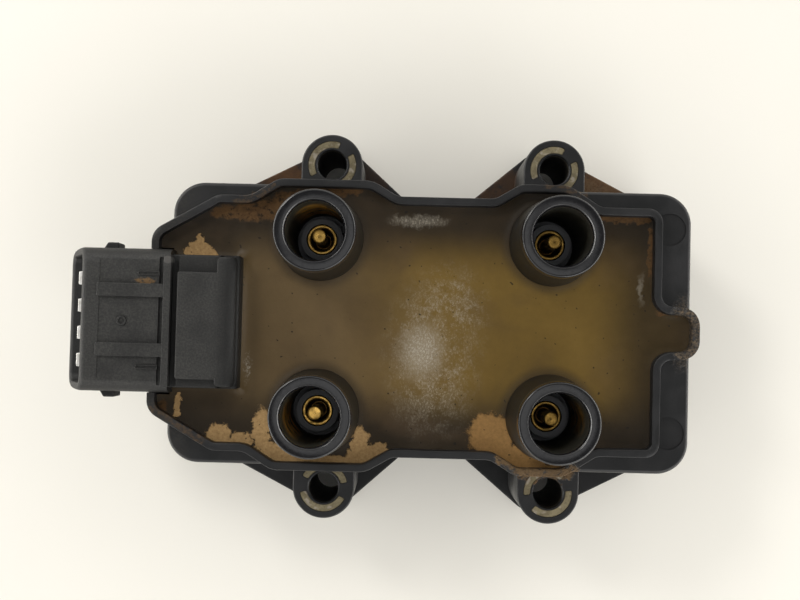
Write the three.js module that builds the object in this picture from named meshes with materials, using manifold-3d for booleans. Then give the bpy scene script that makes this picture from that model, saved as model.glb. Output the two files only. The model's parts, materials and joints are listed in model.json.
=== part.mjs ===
// Double-spark ignition coil pack: a potted plastic case with two transformers inside, four
// high-tension towers, a four-way blade connector and four bolted mounting lugs.
// Millimetres, +Z up. The origin is the centre of the four bolt holes, on the mounting plane.
// +X runs away from the connector, and the towers stand up along +Z.
import * as THREE from "three";
import { mergeVertices } from "three/addons/utils/BufferGeometryUtils.js";
import Module from "manifold-3d";

const wasm = await Module();
wasm.setup();

// ---- driving dimensions ----------------------------------------------------------------
const GAP = 0.3; // free space kept round a piece that is moulded or potted in
const SNUG = 0.15; // free space round a press-fitted piece
const CUT = 2; // how far a cutting tool runs past the face that it opens
const FAR = 60; // a reach that clears the whole pack from its middle
const BOND = 0.1; // how far a feature is sunk into the body that it is joined to

const LUG = { x: 21.3, y: 30.75, top: 23, radius: 5.85, foot: 6.5, plate: 4 };
const BOLT_RADIUS = 2.8;
const SLEEVE = { radius: 4.6, shoulder: 22.2, top: 22.9, windowInner: 3.3 };
const BRIDGE_HALF_ANGLE = 20; // half the width of each plastic bridge over a sleeve, in degrees
const LUGS = [
  { name: "nw", sx: -1, sy: 1, bridge: 50 },
  { name: "ne", sx: 1, sy: 1, bridge: 44 },
  { name: "sw", sx: -1, sy: -1, bridge: -7 },
  { name: "se", sx: 1, sy: -1, bridge: 27 },
];

const CASE = { left: -50, right: 46, halfWidth: 25.9, corner: 5.8, shelf: 30, floor: 2.2, wall: 1.8 };
const CUP = { rim: 33, wall: 1.5, floor: 2, overhangBottom: 18, spoutBottom: 22, spoutHalf: 10 };
const NOTCH_RIGHT = -44; // the notch in the cup's end wall runs from outside to here
const POCKET = { y: 14.7, halfX: 2, halfY: 7.2, roof: 2 };
const LEFT_BLOCK_END = -25; // the wide left end of the case runs back to here
const RIGHT_BLOCK_END = 20; // and the wide right end starts here
const POTTING_TOP = 31;

// The potting cup's outer outline: one half, from the connector end to the spout, as x, y and
// corner radius. The other half is its mirror image in y.
const CUP_HALF = [
  [-53.3, 16.45, 3.4],
  [-41.4, 23.35, 3],
  [-35.5, 23.35, 4],
  [-30.3, 26.6, 4],
  [-13.2, 26.6, 5],
  [-8.4, 23.8, 3],
  [9.4, 23.8, 3],
  [14.0, 26.6, 4],
  [22.7, 26.6, 4],
  [28.8, 22.7, 3],
  [40.1, 22.7, 2.6],
  [40.1, 5.0, 2],
  [47.15, 4.6, 3.4],
];

const CUP_END = CUP_HALF[10][0]; // the cup's end wall, either side of the spout

const TOWER = {
  x: 21.35,
  y: 16.0,
  centreX: -1.2,
  rim: 46.4,
  rimRadius: 7.1,
  footRadius: 8.1,
  footZ: 28,
  rootRadius: 6.2,
  bottom: 19.8,
  floor: 21.8,
  bore: 5.3,
  boreFoot: 5.0,
  collar: 3.97,
  collarTop: 27,
};
const SOCKET = { radius: 2.8, bore: 2.05, top: 27, floor: 23, stem: 1.2, stemEnd: 18.2 };
const PIN = { radius: 1.29, top: 34.7 };

const SHROUD = {
  halfWidth: 13,
  bottom: 24.6,
  top: 36.6,
  corner: 3,
  mouthCorner: 2.8,
  wall: 1.5,
  upperLip: -64.5,
  lowerLip: -70,
  back: -52,
};
const CONNECTOR = {
  barLeft: -50,
  barRight: -48.7,
  right: -36.5,
  rootHalfWidth: 12,
  rootTop: 35.9,
  padTop: 37.3,
};
const PAD = { low: -10.4, high: 8.9, right: -40.4, wideRight: -36.9 };
const GROOVE = { width: 1.1, depth: 1.6, past: 0.3 };
const RIB = { y: 5.35, width: 2.4, left: -61.9 };
const RIDGE = { left: -54.8, right: -50.7, y: 8.4, halfWidth: 0.45, height: 0.3 };
const DIMPLE = { x: -57.4, radius: 0.75, height: 0.25, sides: 12 };
const RAMP = { left: -62.5, right: -59.2, out: 1.15, slope: 1.3, halfHeight: 2.4 };
const BLADE = {
  count: 4,
  pitch: 5,
  width: 2.8,
  thick: 0.8,
  tailWidth: 1.6,
  tip: -66.8,
  noseWidth: 2.3,
  noseLength: 1.6,
  z: 30.8,
  bendX: -43,
  tail: 21.6,
};
const BLADES = Array.from({ length: BLADE.count }, (_, i) => i);

const COIL = { z: 13.6, leg: 5, legHalfLength: 9.6, yoke: 4.6, side: 5, window: 12 };
const AIR_GAP = 0.9; // holds the shim between the E and the I stack
const PRIMARY = { wall: 0.9, build: 1.8, halfLength: 9, cheek: 0.9, cheekReach: 10.9 };
const SECONDARY = { wall: 0.9, reach: 10.9, windingReach: 10.4, halfLength: 7.9, chambers: 4 };
const RIB_THICK = 0.8; // each rib between two chambers of the secondary bobbin
const CROSSOVER = { halfWidth: 0.6, depth: 0.9, short: 1 };
const POST = { aside: 8.5, halfX: 0.7, bottom: 22.6, top: 27.2 };
const LEAD = { radius: 0.5, low: 22.6, high: 28.2, riseX: -35.3, bend: 1.2, tunnel: 0.55 };
const STRAP = { z: 19.1, thick: 0.6, width: 1.6, eye: 2.1, slot: 0.65, slotHalf: 2 };

const ROUND = 24; // sides of a full round on the towers and lugs
const FINE = 16; // sides of a full round on small parts

// ---- materials ---------------------------------------------------------------------------
const plastic = (color, roughness) =>
  new THREE.MeshStandardMaterial({ color, roughness, metalness: 0, flatShading: true });
const metal = (color, roughness) =>
  new THREE.MeshStandardMaterial({ color, roughness, metalness: 1, flatShading: true });
const MATERIAL = {
  case: plastic(0x232426, 0.55),
  tower: plastic(0x17181a, 0.32),
  connector: plastic(0x28292a, 0.62),
  potting: plastic(0x4a3c28, 0.35),
  bobbin: plastic(0xb9ae93, 0.6),
  shim: plastic(0xe8e2d0, 0.7),
  brass: metal(0xc79a45, 0.28),
  tin: metal(0xc9c9c6, 0.3),
  zinc: metal(0xbfae78, 0.5),
  steel: metal(0x6d6f72, 0.5),
  copper: metal(0xb4693a, 0.4),
};

// ---- solids ------------------------------------------------------------------------------
// A closed three.js geometry as a manifold-3d solid.
function solid(geometry) {
  const bare = geometry.index ? geometry.toNonIndexed() : geometry.clone();
  bare.deleteAttribute("normal");
  bare.deleteAttribute("uv");
  const merged = mergeVertices(bare, 1e-4);
  return new wasm.Manifold(
    new wasm.Mesh({
      numProp: 3,
      vertProperties: merged.attributes.position.array,
      triVerts: new Uint32Array(merged.index.array),
    }),
  );
}

function geometryOf(made) {
  const mesh = made.getMesh();
  const geometry = new THREE.BufferGeometry();
  geometry.setAttribute("position", new THREE.BufferAttribute(mesh.vertProperties, 3));
  geometry.setIndex(new THREE.BufferAttribute(mesh.triVerts, 1));
  geometry.computeVertexNormals();
  return geometry;
}

const union = (solids) => solids.reduce((all, one) => all.add(one));
const cutAll = (body, tools) => tools.reduce((left, tool) => left.subtract(tool), body);

function block(x0, x1, y0, y1, z0, z1) {
  const geometry = new THREE.BoxGeometry(x1 - x0, y1 - y0, z1 - z0);
  return solid(geometry.translate((x0 + x1) / 2, (y0 + y1) / 2, (z0 + z1) / 2));
}

// A block centred on a point in x and y.
const centredBlock = (x, y, halfX, halfY, z0, z1) =>
  block(x - halfX, x + halfX, y - halfY, y + halfY, z0, z1);

function cylinder(x, y, radius, z0, z1, sides = FINE) {
  const geometry = new THREE.CylinderGeometry(radius, radius, z1 - z0, sides);
  return solid(geometry.rotateX(Math.PI / 2).translate(x, y, (z0 + z1) / 2));
}

// A solid of revolution about Z, from a profile of radius and height that starts and ends on the axis
// or closes on itself.
function turned(x, y, profile, sides) {
  const points = profile.map(([r, z]) => new THREE.Vector2(r, z));
  return solid(new THREE.LatheGeometry(points, sides).rotateX(Math.PI / 2).translate(x, y, 0));
}

function prism(shape, z0, z1, curveSegments = 2) {
  const geometry = new THREE.ExtrudeGeometry(shape, {
    depth: z1 - z0,
    bevelEnabled: false,
    curveSegments,
  });
  return solid(geometry.translate(0, 0, z0));
}

// A closed shape through corners of x, y and radius.
function roundedShape(corners) {
  const shape = new THREE.Shape();
  corners.forEach(([x, y, radius], i) => {
    const here = new THREE.Vector2(x, y);
    const [px, py] = corners[(i + corners.length - 1) % corners.length];
    const [nx, ny] = corners[(i + 1) % corners.length];
    const back = new THREE.Vector2(px, py).sub(here).normalize();
    const ahead = new THREE.Vector2(nx, ny).sub(here).normalize();
    const half = Math.acos(THREE.MathUtils.clamp(back.dot(ahead), -1, 1)) / 2;
    const setback = radius / Math.tan(half);
    const start = here.clone().addScaledVector(back, setback);
    const end = here.clone().addScaledVector(ahead, setback);
    if (i === 0) shape.moveTo(start.x, start.y);
    else shape.lineTo(start.x, start.y);
    if (radius === 0) return;
    const centre = back.clone().add(ahead).normalize();
    centre.multiplyScalar(radius / Math.sin(half)).add(here);
    const from = Math.atan2(start.y - centre.y, start.x - centre.x);
    const to = Math.atan2(end.y - centre.y, end.x - centre.x);
    const clockwise = ahead.cross(back) < 0;
    shape.absarc(centre.x, centre.y, radius, from, to, clockwise);
  });
  shape.closePath();
  return shape;
}

// The same corners moved inwards by a distance. The corners run anticlockwise.
function insetCorners(corners, distance) {
  const edge = (a, b) => {
    const along = new THREE.Vector2(b[0] - a[0], b[1] - a[1]).normalize();
    const inward = new THREE.Vector2(-along.y, along.x);
    return { point: new THREE.Vector2(a[0], a[1]).addScaledVector(inward, distance), along };
  };
  return corners.map((corner, i) => {
    const before = edge(corners[(i + corners.length - 1) % corners.length], corner);
    const after = edge(corner, corners[(i + 1) % corners.length]);
    const turn = before.along.cross(after.along);
    const gap = after.point.clone().sub(before.point);
    const step = gap.cross(after.along) / turn;
    const at = before.point.clone().addScaledVector(before.along, step);
    return [at.x, at.y, Math.max(0.4, corner[2] - Math.sign(turn) * distance)];
  });
}

const roundedRectangle = (x0, x1, y0, y1, r) =>
  roundedShape([
    [x0, y0, r],
    [x1, y0, r],
    [x1, y1, r],
    [x0, y1, r],
  ]);

// A tube of a given radius through points, with rounded bends.
function wire(points, radius, steps) {
  const path = new THREE.CatmullRomCurve3(points, false, "catmullrom", 0.12);
  const section = new THREE.Shape().absarc(0, 0, radius, 0, 2 * Math.PI, false);
  return solid(
    new THREE.ExtrudeGeometry(section, { steps, curveSegments: 3, extrudePath: path }),
  );
}

// ---- the case ----------------------------------------------------------------------------
const CUP_OUTLINE = [
  ...[...CUP_HALF].reverse(),
  ...CUP_HALF.map(([x, y, r]) => [x, -y, r]),
];
const lugAt = (lug) => [lug.sx * LUG.x, lug.sy * LUG.y];

// The flat plate that spreads a pair of lugs along one long side of the case.
function flangePlate(sy) {
  const lean = THREE.MathUtils.degToRad(27);
  const outX = LUG.x + LUG.foot * Math.sin(lean);
  const outY = LUG.y + LUG.foot * Math.cos(lean);
  const slope = Math.tan(lean);
  const outline = [
    [CASE.left, 10, 0],
    [CASE.right, 10, 0],
    [CASE.right, outY - (CASE.right - outX) * slope, CASE.corner],
    [outX, outY, 0],
    [LUG.x - LUG.foot * 0.6, LUG.y + LUG.foot * 0.8, 0],
    [3, CUP_HALF[5][1], 3],
    [-4, CUP_HALF[5][1], 3],
    [-LUG.x + LUG.foot * 0.6, LUG.y + LUG.foot * 0.8, 0],
    [-outX, outY, 0],
    [CASE.left, outY - (-CASE.left - outX) * slope, CASE.corner],
  ];
  const facing = sy > 0 ? outline : outline.map(([x, y, r]) => [x, -y, r]).reverse();
  return prism(roundedShape(facing), 0, LUG.plate, 3);
}

// The arc-shaped windows that show a sleeve's end through the top of its lug.
function sleeveWindows(lug, clearance, z0, z1) {
  const [x, y] = lugAt(lug);
  return [0, 180].map((turn) => {
    const from = THREE.MathUtils.degToRad(lug.bridge + turn + BRIDGE_HALF_ANGLE);
    const to = THREE.MathUtils.degToRad(lug.bridge + turn + 180 - BRIDGE_HALF_ANGLE);
    const shape = new THREE.Shape();
    shape.absarc(x, y, SLEEVE.radius + clearance, from, to, false);
    shape.absarc(x, y, SLEEVE.windowInner - clearance, to, from, true);
    return prism(shape, z0, z1, 3);
  });
}

function lugBoss(lug) {
  const [x, y] = lugAt(lug);
  const web = [lug.sy * (CASE.halfWidth - LUG.foot), y].sort((a, b) => a - b);
  return union([
    cylinder(x, y, LUG.radius, 0, LUG.top, ROUND),
    block(x - LUG.radius, x + LUG.radius, web[0], web[1], 0, LUG.top),
    cylinder(x, y, LUG.foot, 0, LUG.plate, ROUND),
  ]);
}

function lugHole(lug) {
  const [x, y] = lugAt(lug);
  return union([
    cylinder(x, y, SLEEVE.radius + SNUG, -CUT, SLEEVE.shoulder + SNUG),
    cylinder(x, y, BOLT_RADIUS, 0, LUG.top + CUT),
    ...sleeveWindows(lug, SNUG, SLEEVE.shoulder, LUG.top + CUT),
  ]);
}

// Two hollows under the shelf at the spout end, open downwards, that keep the walls even.
function coringPockets() {
  const middle = (CUP_END + CASE.right - CASE.wall) / 2;
  const roof = CASE.shelf - POCKET.roof;
  return [-1, 1].map((side) =>
    centredBlock(middle, side * POCKET.y, POCKET.halfX, POCKET.halfY, -CUT, roof),
  );
}

// The notch in the cup's end wall that the connector drops into.
function connectorNotch() {
  const half = SHROUD.halfWidth + SNUG;
  return block(-FAR, NOTCH_RIGHT, -half, half, SHROUD.bottom - SNUG, CUP.rim + CUT);
}

// A wide end of the case: square where it joins the cup, rounded outside.
function endBlock(joinX, outerX) {
  const { halfWidth: w, corner: r, shelf } = CASE;
  const outline = [
    [joinX, w, 0],
    [outerX, w, r],
    [outerX, -w, r],
    [joinX, -w, 0],
  ];
  return prism(roundedShape(outerX < joinX ? outline : outline.reverse()), 0, shelf);
}

// Everything between two planes across X.
const slab = (x0, x1) => block(x0, x1, -FAR, FAR, -FAR, FAR);

// The space over the spout's shallow floor down to a height.
const underSpout = (x, top) => block(x, FAR, -CUP.spoutHalf, CUP.spoutHalf, -CUT, top);

function caseOutside() {
  const outline = roundedShape(CUP_OUTLINE);
  const cup = prism(outline, CUP.overhangBottom, CUP.rim);
  return union([
    cup.subtract(underSpout(CASE.right, CUP.spoutBottom)),
    prism(outline, 0, CUP.rim).intersect(slab(CASE.left, CASE.right)),
    endBlock(LEFT_BLOCK_END, CASE.left),
    endBlock(RIGHT_BLOCK_END, CASE.right),
    ...[-1, 1].map(flangePlate),
    ...LUGS.map(lugBoss),
  ]);
}

// The cup's hollow follows its outline, and below the overhang it stays inside the end wall.
function caseHollow() {
  const outline = roundedShape(insetCorners(CUP_OUTLINE, CUP.wall));
  const upper = prism(outline, CUP.overhangBottom + CUP.floor, CUP.rim + CUT);
  const lower = prism(outline, CASE.floor, CUP.rim).intersect(
    slab(CASE.left + CASE.wall, CASE.right - CASE.wall),
  );
  return upper.add(lower).subtract(underSpout(CUP_END - CUP.wall, CUP.spoutBottom + CUP.floor));
}

const housing = () =>
  cutAll(caseOutside(), [
    caseHollow(),
    connectorNotch(),
    ...LUGS.map(lugHole),
    ...coringPockets(),
  ]);

function sleeve(lug) {
  const [x, y] = lugAt(lug);
  const tube = cylinder(x, y, SLEEVE.radius, 0, SLEEVE.shoulder);
  const pads = sleeveWindows(lug, 0, SLEEVE.shoulder - BOND, SLEEVE.top);
  return union([tube, ...pads]).subtract(cylinder(x, y, BOLT_RADIUS, -CUT, LUG.top));
}

// ---- the towers and their terminals ------------------------------------------------------
const TOWERS = [
  { n: 1, x: TOWER.centreX - TOWER.x, y: TOWER.y },
  { n: 2, x: TOWER.centreX + TOWER.x, y: TOWER.y },
  { n: 3, x: TOWER.centreX - TOWER.x, y: -TOWER.y },
  { n: 4, x: TOWER.centreX + TOWER.x, y: -TOWER.y },
];

// The outside of a tower, swollen by a clearance, as a plain turned solid.
const towerEnvelope = (at, clearance) =>
  turned(
    at.x,
    at.y,
    [
      [0, TOWER.bottom - clearance],
      [TOWER.rootRadius + clearance, TOWER.bottom - clearance],
      [TOWER.rootRadius + clearance, TOWER.footZ - 1.8],
      [TOWER.footRadius + clearance, TOWER.footZ],
      [TOWER.rimRadius + clearance, TOWER.rim + clearance],
      [0, TOWER.rim + clearance],
    ],
    ROUND,
  );

function tower(at) {
  const { rim, floor, bore, boreFoot, collar, collarTop, bottom } = TOWER;
  const inside = SOCKET.radius + SNUG;
  const stem = SOCKET.stem + SNUG;
  const profile = [
    [stem, bottom],
    [TOWER.rootRadius, bottom],
    [TOWER.rootRadius, TOWER.footZ - 1.8],
    [TOWER.footRadius, TOWER.footZ],
    [TOWER.rimRadius + 0.1, rim - 0.9],
    [TOWER.rimRadius - 0.35, rim],
    [bore, rim],
    [boreFoot, floor],
    [collar, floor],
    [collar, collarTop],
    [inside, collarTop],
    [inside, floor],
    [stem, floor],
    [stem, bottom],
  ];
  return turned(at.x, at.y, profile, ROUND);
}

function socket(at) {
  const foot = TOWER.floor + SNUG;
  const drill = PIN.radius + SNUG;
  const profile = [
    [drill, foot + 0.6],
    [drill, SOCKET.floor],
    [SOCKET.bore, SOCKET.floor],
    [SOCKET.bore, SOCKET.top],
    [SOCKET.radius, SOCKET.top],
    [SOCKET.radius, foot],
    [SOCKET.stem, foot],
    [SOCKET.stem, SOCKET.stemEnd],
    [0, SOCKET.stemEnd],
  ];
  return turned(at.x, at.y, [[0, foot + 0.6], ...profile].reverse(), FINE);
}

function terminalPin(at) {
  const foot = TOWER.floor + SNUG + 0.6 + SNUG;
  const profile = [
    [0, foot],
    [PIN.radius, foot],
    [PIN.radius, PIN.top - 0.3],
    [PIN.radius - 0.3, PIN.top],
    [0, PIN.top],
  ];
  return turned(at.x, at.y, profile, FINE);
}

// ---- the connector -----------------------------------------------------------------------
// A shape in the YZ plane run along X.
function runAlongX(shape, x0, x1) {
  const geometry = new THREE.ExtrudeGeometry(shape, {
    depth: x1 - x0,
    bevelEnabled: false,
    curveSegments: 3,
  });
  const turn = new THREE.Matrix4().set(0, 0, 1, x0, 1, 0, 0, 0, 0, 1, 0, 0, 0, 0, 0, 1);
  return solid(geometry.applyMatrix4(turn));
}

// Everything beyond the slanted mouth of the shroud, to be cut away.
function mouthTool() {
  const lean = (SHROUD.lowerLip - SHROUD.upperLip) / (SHROUD.top - SHROUD.bottom);
  const lip = (z) => SHROUD.upperLip + lean * (SHROUD.top - z);
  const z = [SHROUD.bottom - CUT, SHROUD.top + CUT];
  const shape = new THREE.Shape([
    new THREE.Vector2(lip(z[0]) - FAR, z[0]),
    new THREE.Vector2(lip(z[0]), z[0]),
    new THREE.Vector2(lip(z[1]), z[1]),
    new THREE.Vector2(lip(z[1]) - FAR, z[1]),
  ]);
  const geometry = new THREE.ExtrudeGeometry(shape, { depth: 2 * FAR, bevelEnabled: false });
  return solid(geometry.rotateX(Math.PI / 2).translate(0, FAR, 0));
}

// The two corners that rounding the mouth in plan takes off.
function mouthCorners() {
  const { halfWidth: w, lowerLip, mouthCorner: r, bottom, top } = SHROUD;
  const z = [bottom - CUT, top + CUT];
  const around = block(lowerLip - CUT, lowerLip + r, -w - CUT, w + CUT, ...z);
  return around.subtract(prism(roundedRectangle(lowerLip, 0, -w, w, r), ...z));
}

const bladeY = (i) => ((BLADE.count - 1) / 2 - i) * BLADE.pitch;

// One blade with its tail, swollen by a clearance.
function bladeSolid(i, clearance) {
  const y = bladeY(i);
  const halfThick = BLADE.thick / 2 + clearance;
  const halfWidth = BLADE.width / 2 + clearance;
  const halfTail = BLADE.tailWidth / 2 + clearance;
  const top = BLADE.z + halfThick;
  const end = BLADE.bendX + halfThick;
  return union([
    block(BLADE.tip, end, y - halfWidth, y + halfWidth, BLADE.z - halfThick, top),
    block(BLADE.bendX - halfThick, end, y - halfTail, y + halfTail, BLADE.tail - clearance, top),
  ]);
}

// A blade's nose narrows to its tip.
function blade(i) {
  const y = bladeY(i);
  const corners = [-1, 1].map((side) => {
    const shape = new THREE.Shape([
      new THREE.Vector2(BLADE.tip - CUT, y + (side * BLADE.noseWidth) / 2),
      new THREE.Vector2(BLADE.tip, y + (side * BLADE.noseWidth) / 2),
      new THREE.Vector2(BLADE.tip + BLADE.noseLength, y + (side * BLADE.width) / 2),
      new THREE.Vector2(BLADE.tip + BLADE.noseLength, y + side * BLADE.width),
      new THREE.Vector2(BLADE.tip - CUT, y + side * BLADE.width),
    ]);
    return prism(shape, BLADE.z - CUT, BLADE.z + CUT);
  });
  return cutAll(bladeSolid(i, 0), corners);
}

// A ramp on a short side of the shroud, for the plug's wire clip.
function sideRamp(side) {
  const root = side * (SHROUD.halfWidth - 1);
  const out = side * (SHROUD.halfWidth + RAMP.out);
  const corners = [
    new THREE.Vector2(RAMP.left, root),
    new THREE.Vector2(RAMP.left + RAMP.slope, out),
    new THREE.Vector2(RAMP.right, out),
    new THREE.Vector2(RAMP.right, root),
  ];
  const middle = (SHROUD.top + SHROUD.bottom) / 2;
  return prism(new THREE.Shape(corners), middle - RAMP.halfHeight, middle + RAMP.halfHeight);
}

// The part of the connector that is sunk in the potting, swollen by a clearance.
function connectorRoot(clearance) {
  const bottom = SHROUD.bottom - clearance;
  const top = CONNECTOR.padTop + CUT;
  const neck = SHROUD.halfWidth + clearance;
  const root = CONNECTOR.rootHalfWidth + clearance;
  return union([
    block(-FAR, CONNECTOR.barRight + clearance, -neck, neck, bottom, top),
    block(-FAR, CONNECTOR.right + clearance, -root, root, bottom, top),
  ]);
}

// The raised features on top of the shroud.
function shroudTop() {
  const { top } = SHROUD;
  const { barLeft, padTop } = CONNECTOR;
  const low = top - 1;
  const ribs = [-1, 1].map((side) => {
    const y = side * RIB.y;
    return block(RIB.left, barLeft + BOND, y - RIB.width / 2, y + RIB.width / 2, low, padTop);
  });
  const ridges = [-1, 1].map((side) => {
    const y = side * RIDGE.y;
    const half = RIDGE.halfWidth;
    return block(RIDGE.left, RIDGE.right, y - half, y + half, low, top + RIDGE.height);
  });
  return union([
    ...ribs,
    ...ridges,
    cylinder(DIMPLE.x, 0, DIMPLE.radius, low, top + DIMPLE.height, DIMPLE.sides),
  ]);
}

// The block behind the shroud, with its crossbar and its T-shaped pad.
function connectorBlock() {
  const { barLeft, barRight, right, rootHalfWidth: w, rootTop, padTop } = CONNECTOR;
  const { bottom } = SHROUD;
  const low = rootTop - 1;
  return union([
    block(barLeft, barRight, -w, w, bottom, padTop),
    block(barRight - BOND, right, -w, w, bottom, rootTop),
    block(barRight - BOND, PAD.right, PAD.low, PAD.high, low, padTop),
    block(PAD.right - BOND, PAD.wideRight, -w, w, low, padTop),
  ]);
}

function connectorBody() {
  const { halfWidth: w, wall: t, bottom, top, corner } = SHROUD;
  const outer = roundedRectangle(-w, w, bottom, top, corner);
  const inner = roundedRectangle(-w + t, w - t, bottom + t, top - t, corner - t + 0.4);
  const { barRight } = CONNECTOR;
  const shroud = runAlongX(outer, SHROUD.lowerLip - CUT, barRight - 4 * BOND);
  const socketSpace = runAlongX(inner, SHROUD.lowerLip - 2 * CUT, SHROUD.back);
  const groove = block(
    barRight,
    barRight + GROOVE.width,
    PAD.low - GROOVE.past,
    PAD.high + GROOVE.past,
    top - GROOVE.depth,
    top + CUT,
  );
  const body = union([
    shroud.subtract(socketSpace),
    connectorBlock(),
    shroudTop(),
    ...[-1, 1].map(sideRamp),
  ]);
  return cutAll(body, [mouthTool(), mouthCorners(), groove, ...BLADES.map((i) => bladeSolid(i, SNUG))]);
}

// ---- the two transformers ----------------------------------------------------------------
const COILS = [
  { name: "left", x: TOWER.centreX - TOWER.x },
  { name: "right", x: TOWER.centreX + TOWER.x },
];
const stackZ = [COIL.z - COIL.leg, COIL.z + COIL.leg];
const coreHalfY = COIL.legHalfLength + COIL.yoke;
const coreHalfX = COIL.window + COIL.side;

function coreE(coil) {
  const [z0, z1] = stackZ;
  const open = COIL.legHalfLength - AIR_GAP / 2;
  const sideX = COIL.window + COIL.side / 2;
  const limb = (x, halfX) => block(x - halfX, x + halfX, -coreHalfY, open, z0, z1);
  return union([
    block(coil.x - coreHalfX, coil.x + coreHalfX, -coreHalfY, -COIL.legHalfLength, z0, z1),
    limb(coil.x, COIL.leg),
    limb(coil.x - sideX, COIL.side / 2),
    limb(coil.x + sideX, COIL.side / 2),
  ]);
}

// A bar as wide as the core, across its open side.
const coreBar = (coil, y0, y1) =>
  block(coil.x - coreHalfX, coil.x + coreHalfX, y0, y1, ...stackZ);
const coreI = (coil) => coreBar(coil, COIL.legHalfLength + AIR_GAP / 2, coreHalfY);

function gapShim(coil) {
  const half = AIR_GAP / 2 - SNUG;
  return coreBar(coil, COIL.legHalfLength - half, COIL.legHalfLength + half);
}

// A square ring round the centre leg, with rounded outer corners.
function squareRing(coil, inner, outer, y0, y1, corner) {
  const z = COIL.z;
  const made = (half, r, from, to) => {
    const shape = roundedRectangle(coil.x - half, coil.x + half, z - half, z + half, r);
    const geometry = new THREE.ExtrudeGeometry(shape, {
      depth: to - from,
      bevelEnabled: false,
      curveSegments: 1,
    });
    return solid(geometry.rotateX(Math.PI / 2).translate(0, to, 0));
  };
  return made(outer, corner, y0, y1).subtract(made(inner, 0.3, y0 - CUT, y1 + CUT));
}

const primaryInner = COIL.leg + GAP;
const primaryOuter = primaryInner + PRIMARY.wall;
const primaryWound = primaryOuter + PRIMARY.build;
const secondaryInner = primaryWound + GAP;
const secondaryOuter = secondaryInner + SECONDARY.wall;

const postX = (coil) => coil.x - POST.aside;
const postY = PRIMARY.halfLength - PRIMARY.cheek / 2;

// A tube round the centre leg with a square cheek at each end. A post on each cheek takes a lead,
// and a slot through each cheek lets the high-tension strap past.
function primaryBobbin(coil) {
  const { halfLength: end, cheek, cheekReach } = PRIMARY;
  const { z, slot } = STRAP;
  const half = STRAP.width / 2 + GAP;
  const made = union([
    squareRing(coil, primaryInner, primaryOuter, -end, end, 0.8),
    squareRing(coil, primaryInner, cheekReach, -end, cheek - end, 2),
    squareRing(coil, primaryInner, cheekReach, end - cheek, end, 2),
    ...[-postY, postY].map((y) =>
      centredBlock(postX(coil), y, POST.halfX, cheek / 2, POST.bottom, POST.top),
    ),
  ]);
  return cutAll(
    made,
    [-end, end].map((y) => centredBlock(coil.x, y, half, STRAP.slotHalf, z - slot, z + slot)),
  );
}

function primaryWinding(coil) {
  const end = PRIMARY.halfLength - PRIMARY.cheek - SNUG;
  return squareRing(coil, primaryOuter + SNUG, primaryWound, -end, end, 1.6);
}

// Where each of the secondary's ribs starts, and the chambers between them.
const secondaryPitch = (2 * SECONDARY.halfLength - RIB_THICK) / SECONDARY.chambers;
const ribY = (i) => -SECONDARY.halfLength + i * secondaryPitch;
const CHAMBERS = Array.from({ length: SECONDARY.chambers }, (_, i) => i);

function secondaryBobbin(coil) {
  const end = SECONDARY.halfLength;
  const tube = squareRing(coil, secondaryInner, secondaryOuter, -end, end, 1.8);
  const ribs = [...CHAMBERS, SECONDARY.chambers].map((i) =>
    squareRing(coil, secondaryInner, SECONDARY.reach, ribY(i), ribY(i) + RIB_THICK, 2.4),
  );
  return union([tube, ...ribs]).subtract(crossover(coil, SNUG));
}

// The fine winding fills every chamber. It passes from one to the next through the crossover.
function secondaryWinding(coil) {
  const sections = CHAMBERS.map((i) => {
    const y0 = ribY(i) + RIB_THICK + SNUG;
    const y1 = ribY(i + 1) - SNUG;
    return squareRing(coil, secondaryOuter + SNUG, SECONDARY.windingReach, y0, y1, 2.2);
  });
  return union([...sections, crossover(coil, 0)]);
}

// The straight run of wire through the ribs' slots, swollen by a clearance.
function crossover(coil, clearance) {
  const low = COIL.z - SECONDARY.windingReach;
  const end = SECONDARY.halfLength - RIB_THICK - CROSSOVER.short;
  const half = CROSSOVER.halfWidth + clearance;
  return centredBlock(coil.x, 0, half, end, low - clearance, low + CROSSOVER.depth + clearance);
}

// From the stem under a tower's socket to the nearer end of the secondary.
function htStrap(at) {
  const end = Math.sign(at.y) * (SECONDARY.halfLength + GAP);
  const y = [at.y, end].sort((a, b) => a - b);
  const z = [STRAP.z - STRAP.thick / 2, STRAP.z + STRAP.thick / 2];
  const half = STRAP.width / 2;
  return union([
    block(at.x - half, at.x + half, ...y, ...z),
    cylinder(at.x, at.y, STRAP.eye, ...z),
  ]).subtract(cylinder(at.x, at.y, SOCKET.stem + SNUG, z[0] - CUT, z[1] + CUT));
}

// The wires from the blade tails to the primary bobbins' posts: along under the connector, up beside
// its root, and back over the coils. The outer two go to the left coil.
const isOuter = (i) => i === 0 || i === BLADE.count - 1;

function leadPoints(i) {
  const y = bladeY(i);
  const post = postX(COILS[isOuter(i) ? 0 : 1]);
  const postSide = Math.sign(y) * postY;
  return [
    [BLADE.bendX + BLADE.thick / 2 + GAP, y, LEAD.low],
    [LEAD.riseX, y, LEAD.low],
    [LEAD.riseX, y, LEAD.high],
    [post - LEAD.bend, isOuter(i) ? postSide : y, LEAD.high],
    [post, postSide, LEAD.high],
  ].map((at) => new THREE.Vector3(...at));
}
const lead = (i) => wire(leadPoints(i), LEAD.radius, isOuter(i) ? 12 : 18);

// The square tunnel that a lead lies in: one block round each straight run.
function leadTunnel(i) {
  const points = leadPoints(i);
  const runs = points.slice(1).map((to, k) => {
    const box = new THREE.Box3().setFromPoints([points[k], to]);
    const { min, max } = box.expandByScalar(LEAD.radius + LEAD.tunnel);
    return block(min.x, max.x, min.y, max.y, min.z, max.z);
  });
  return union(runs);
}

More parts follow.
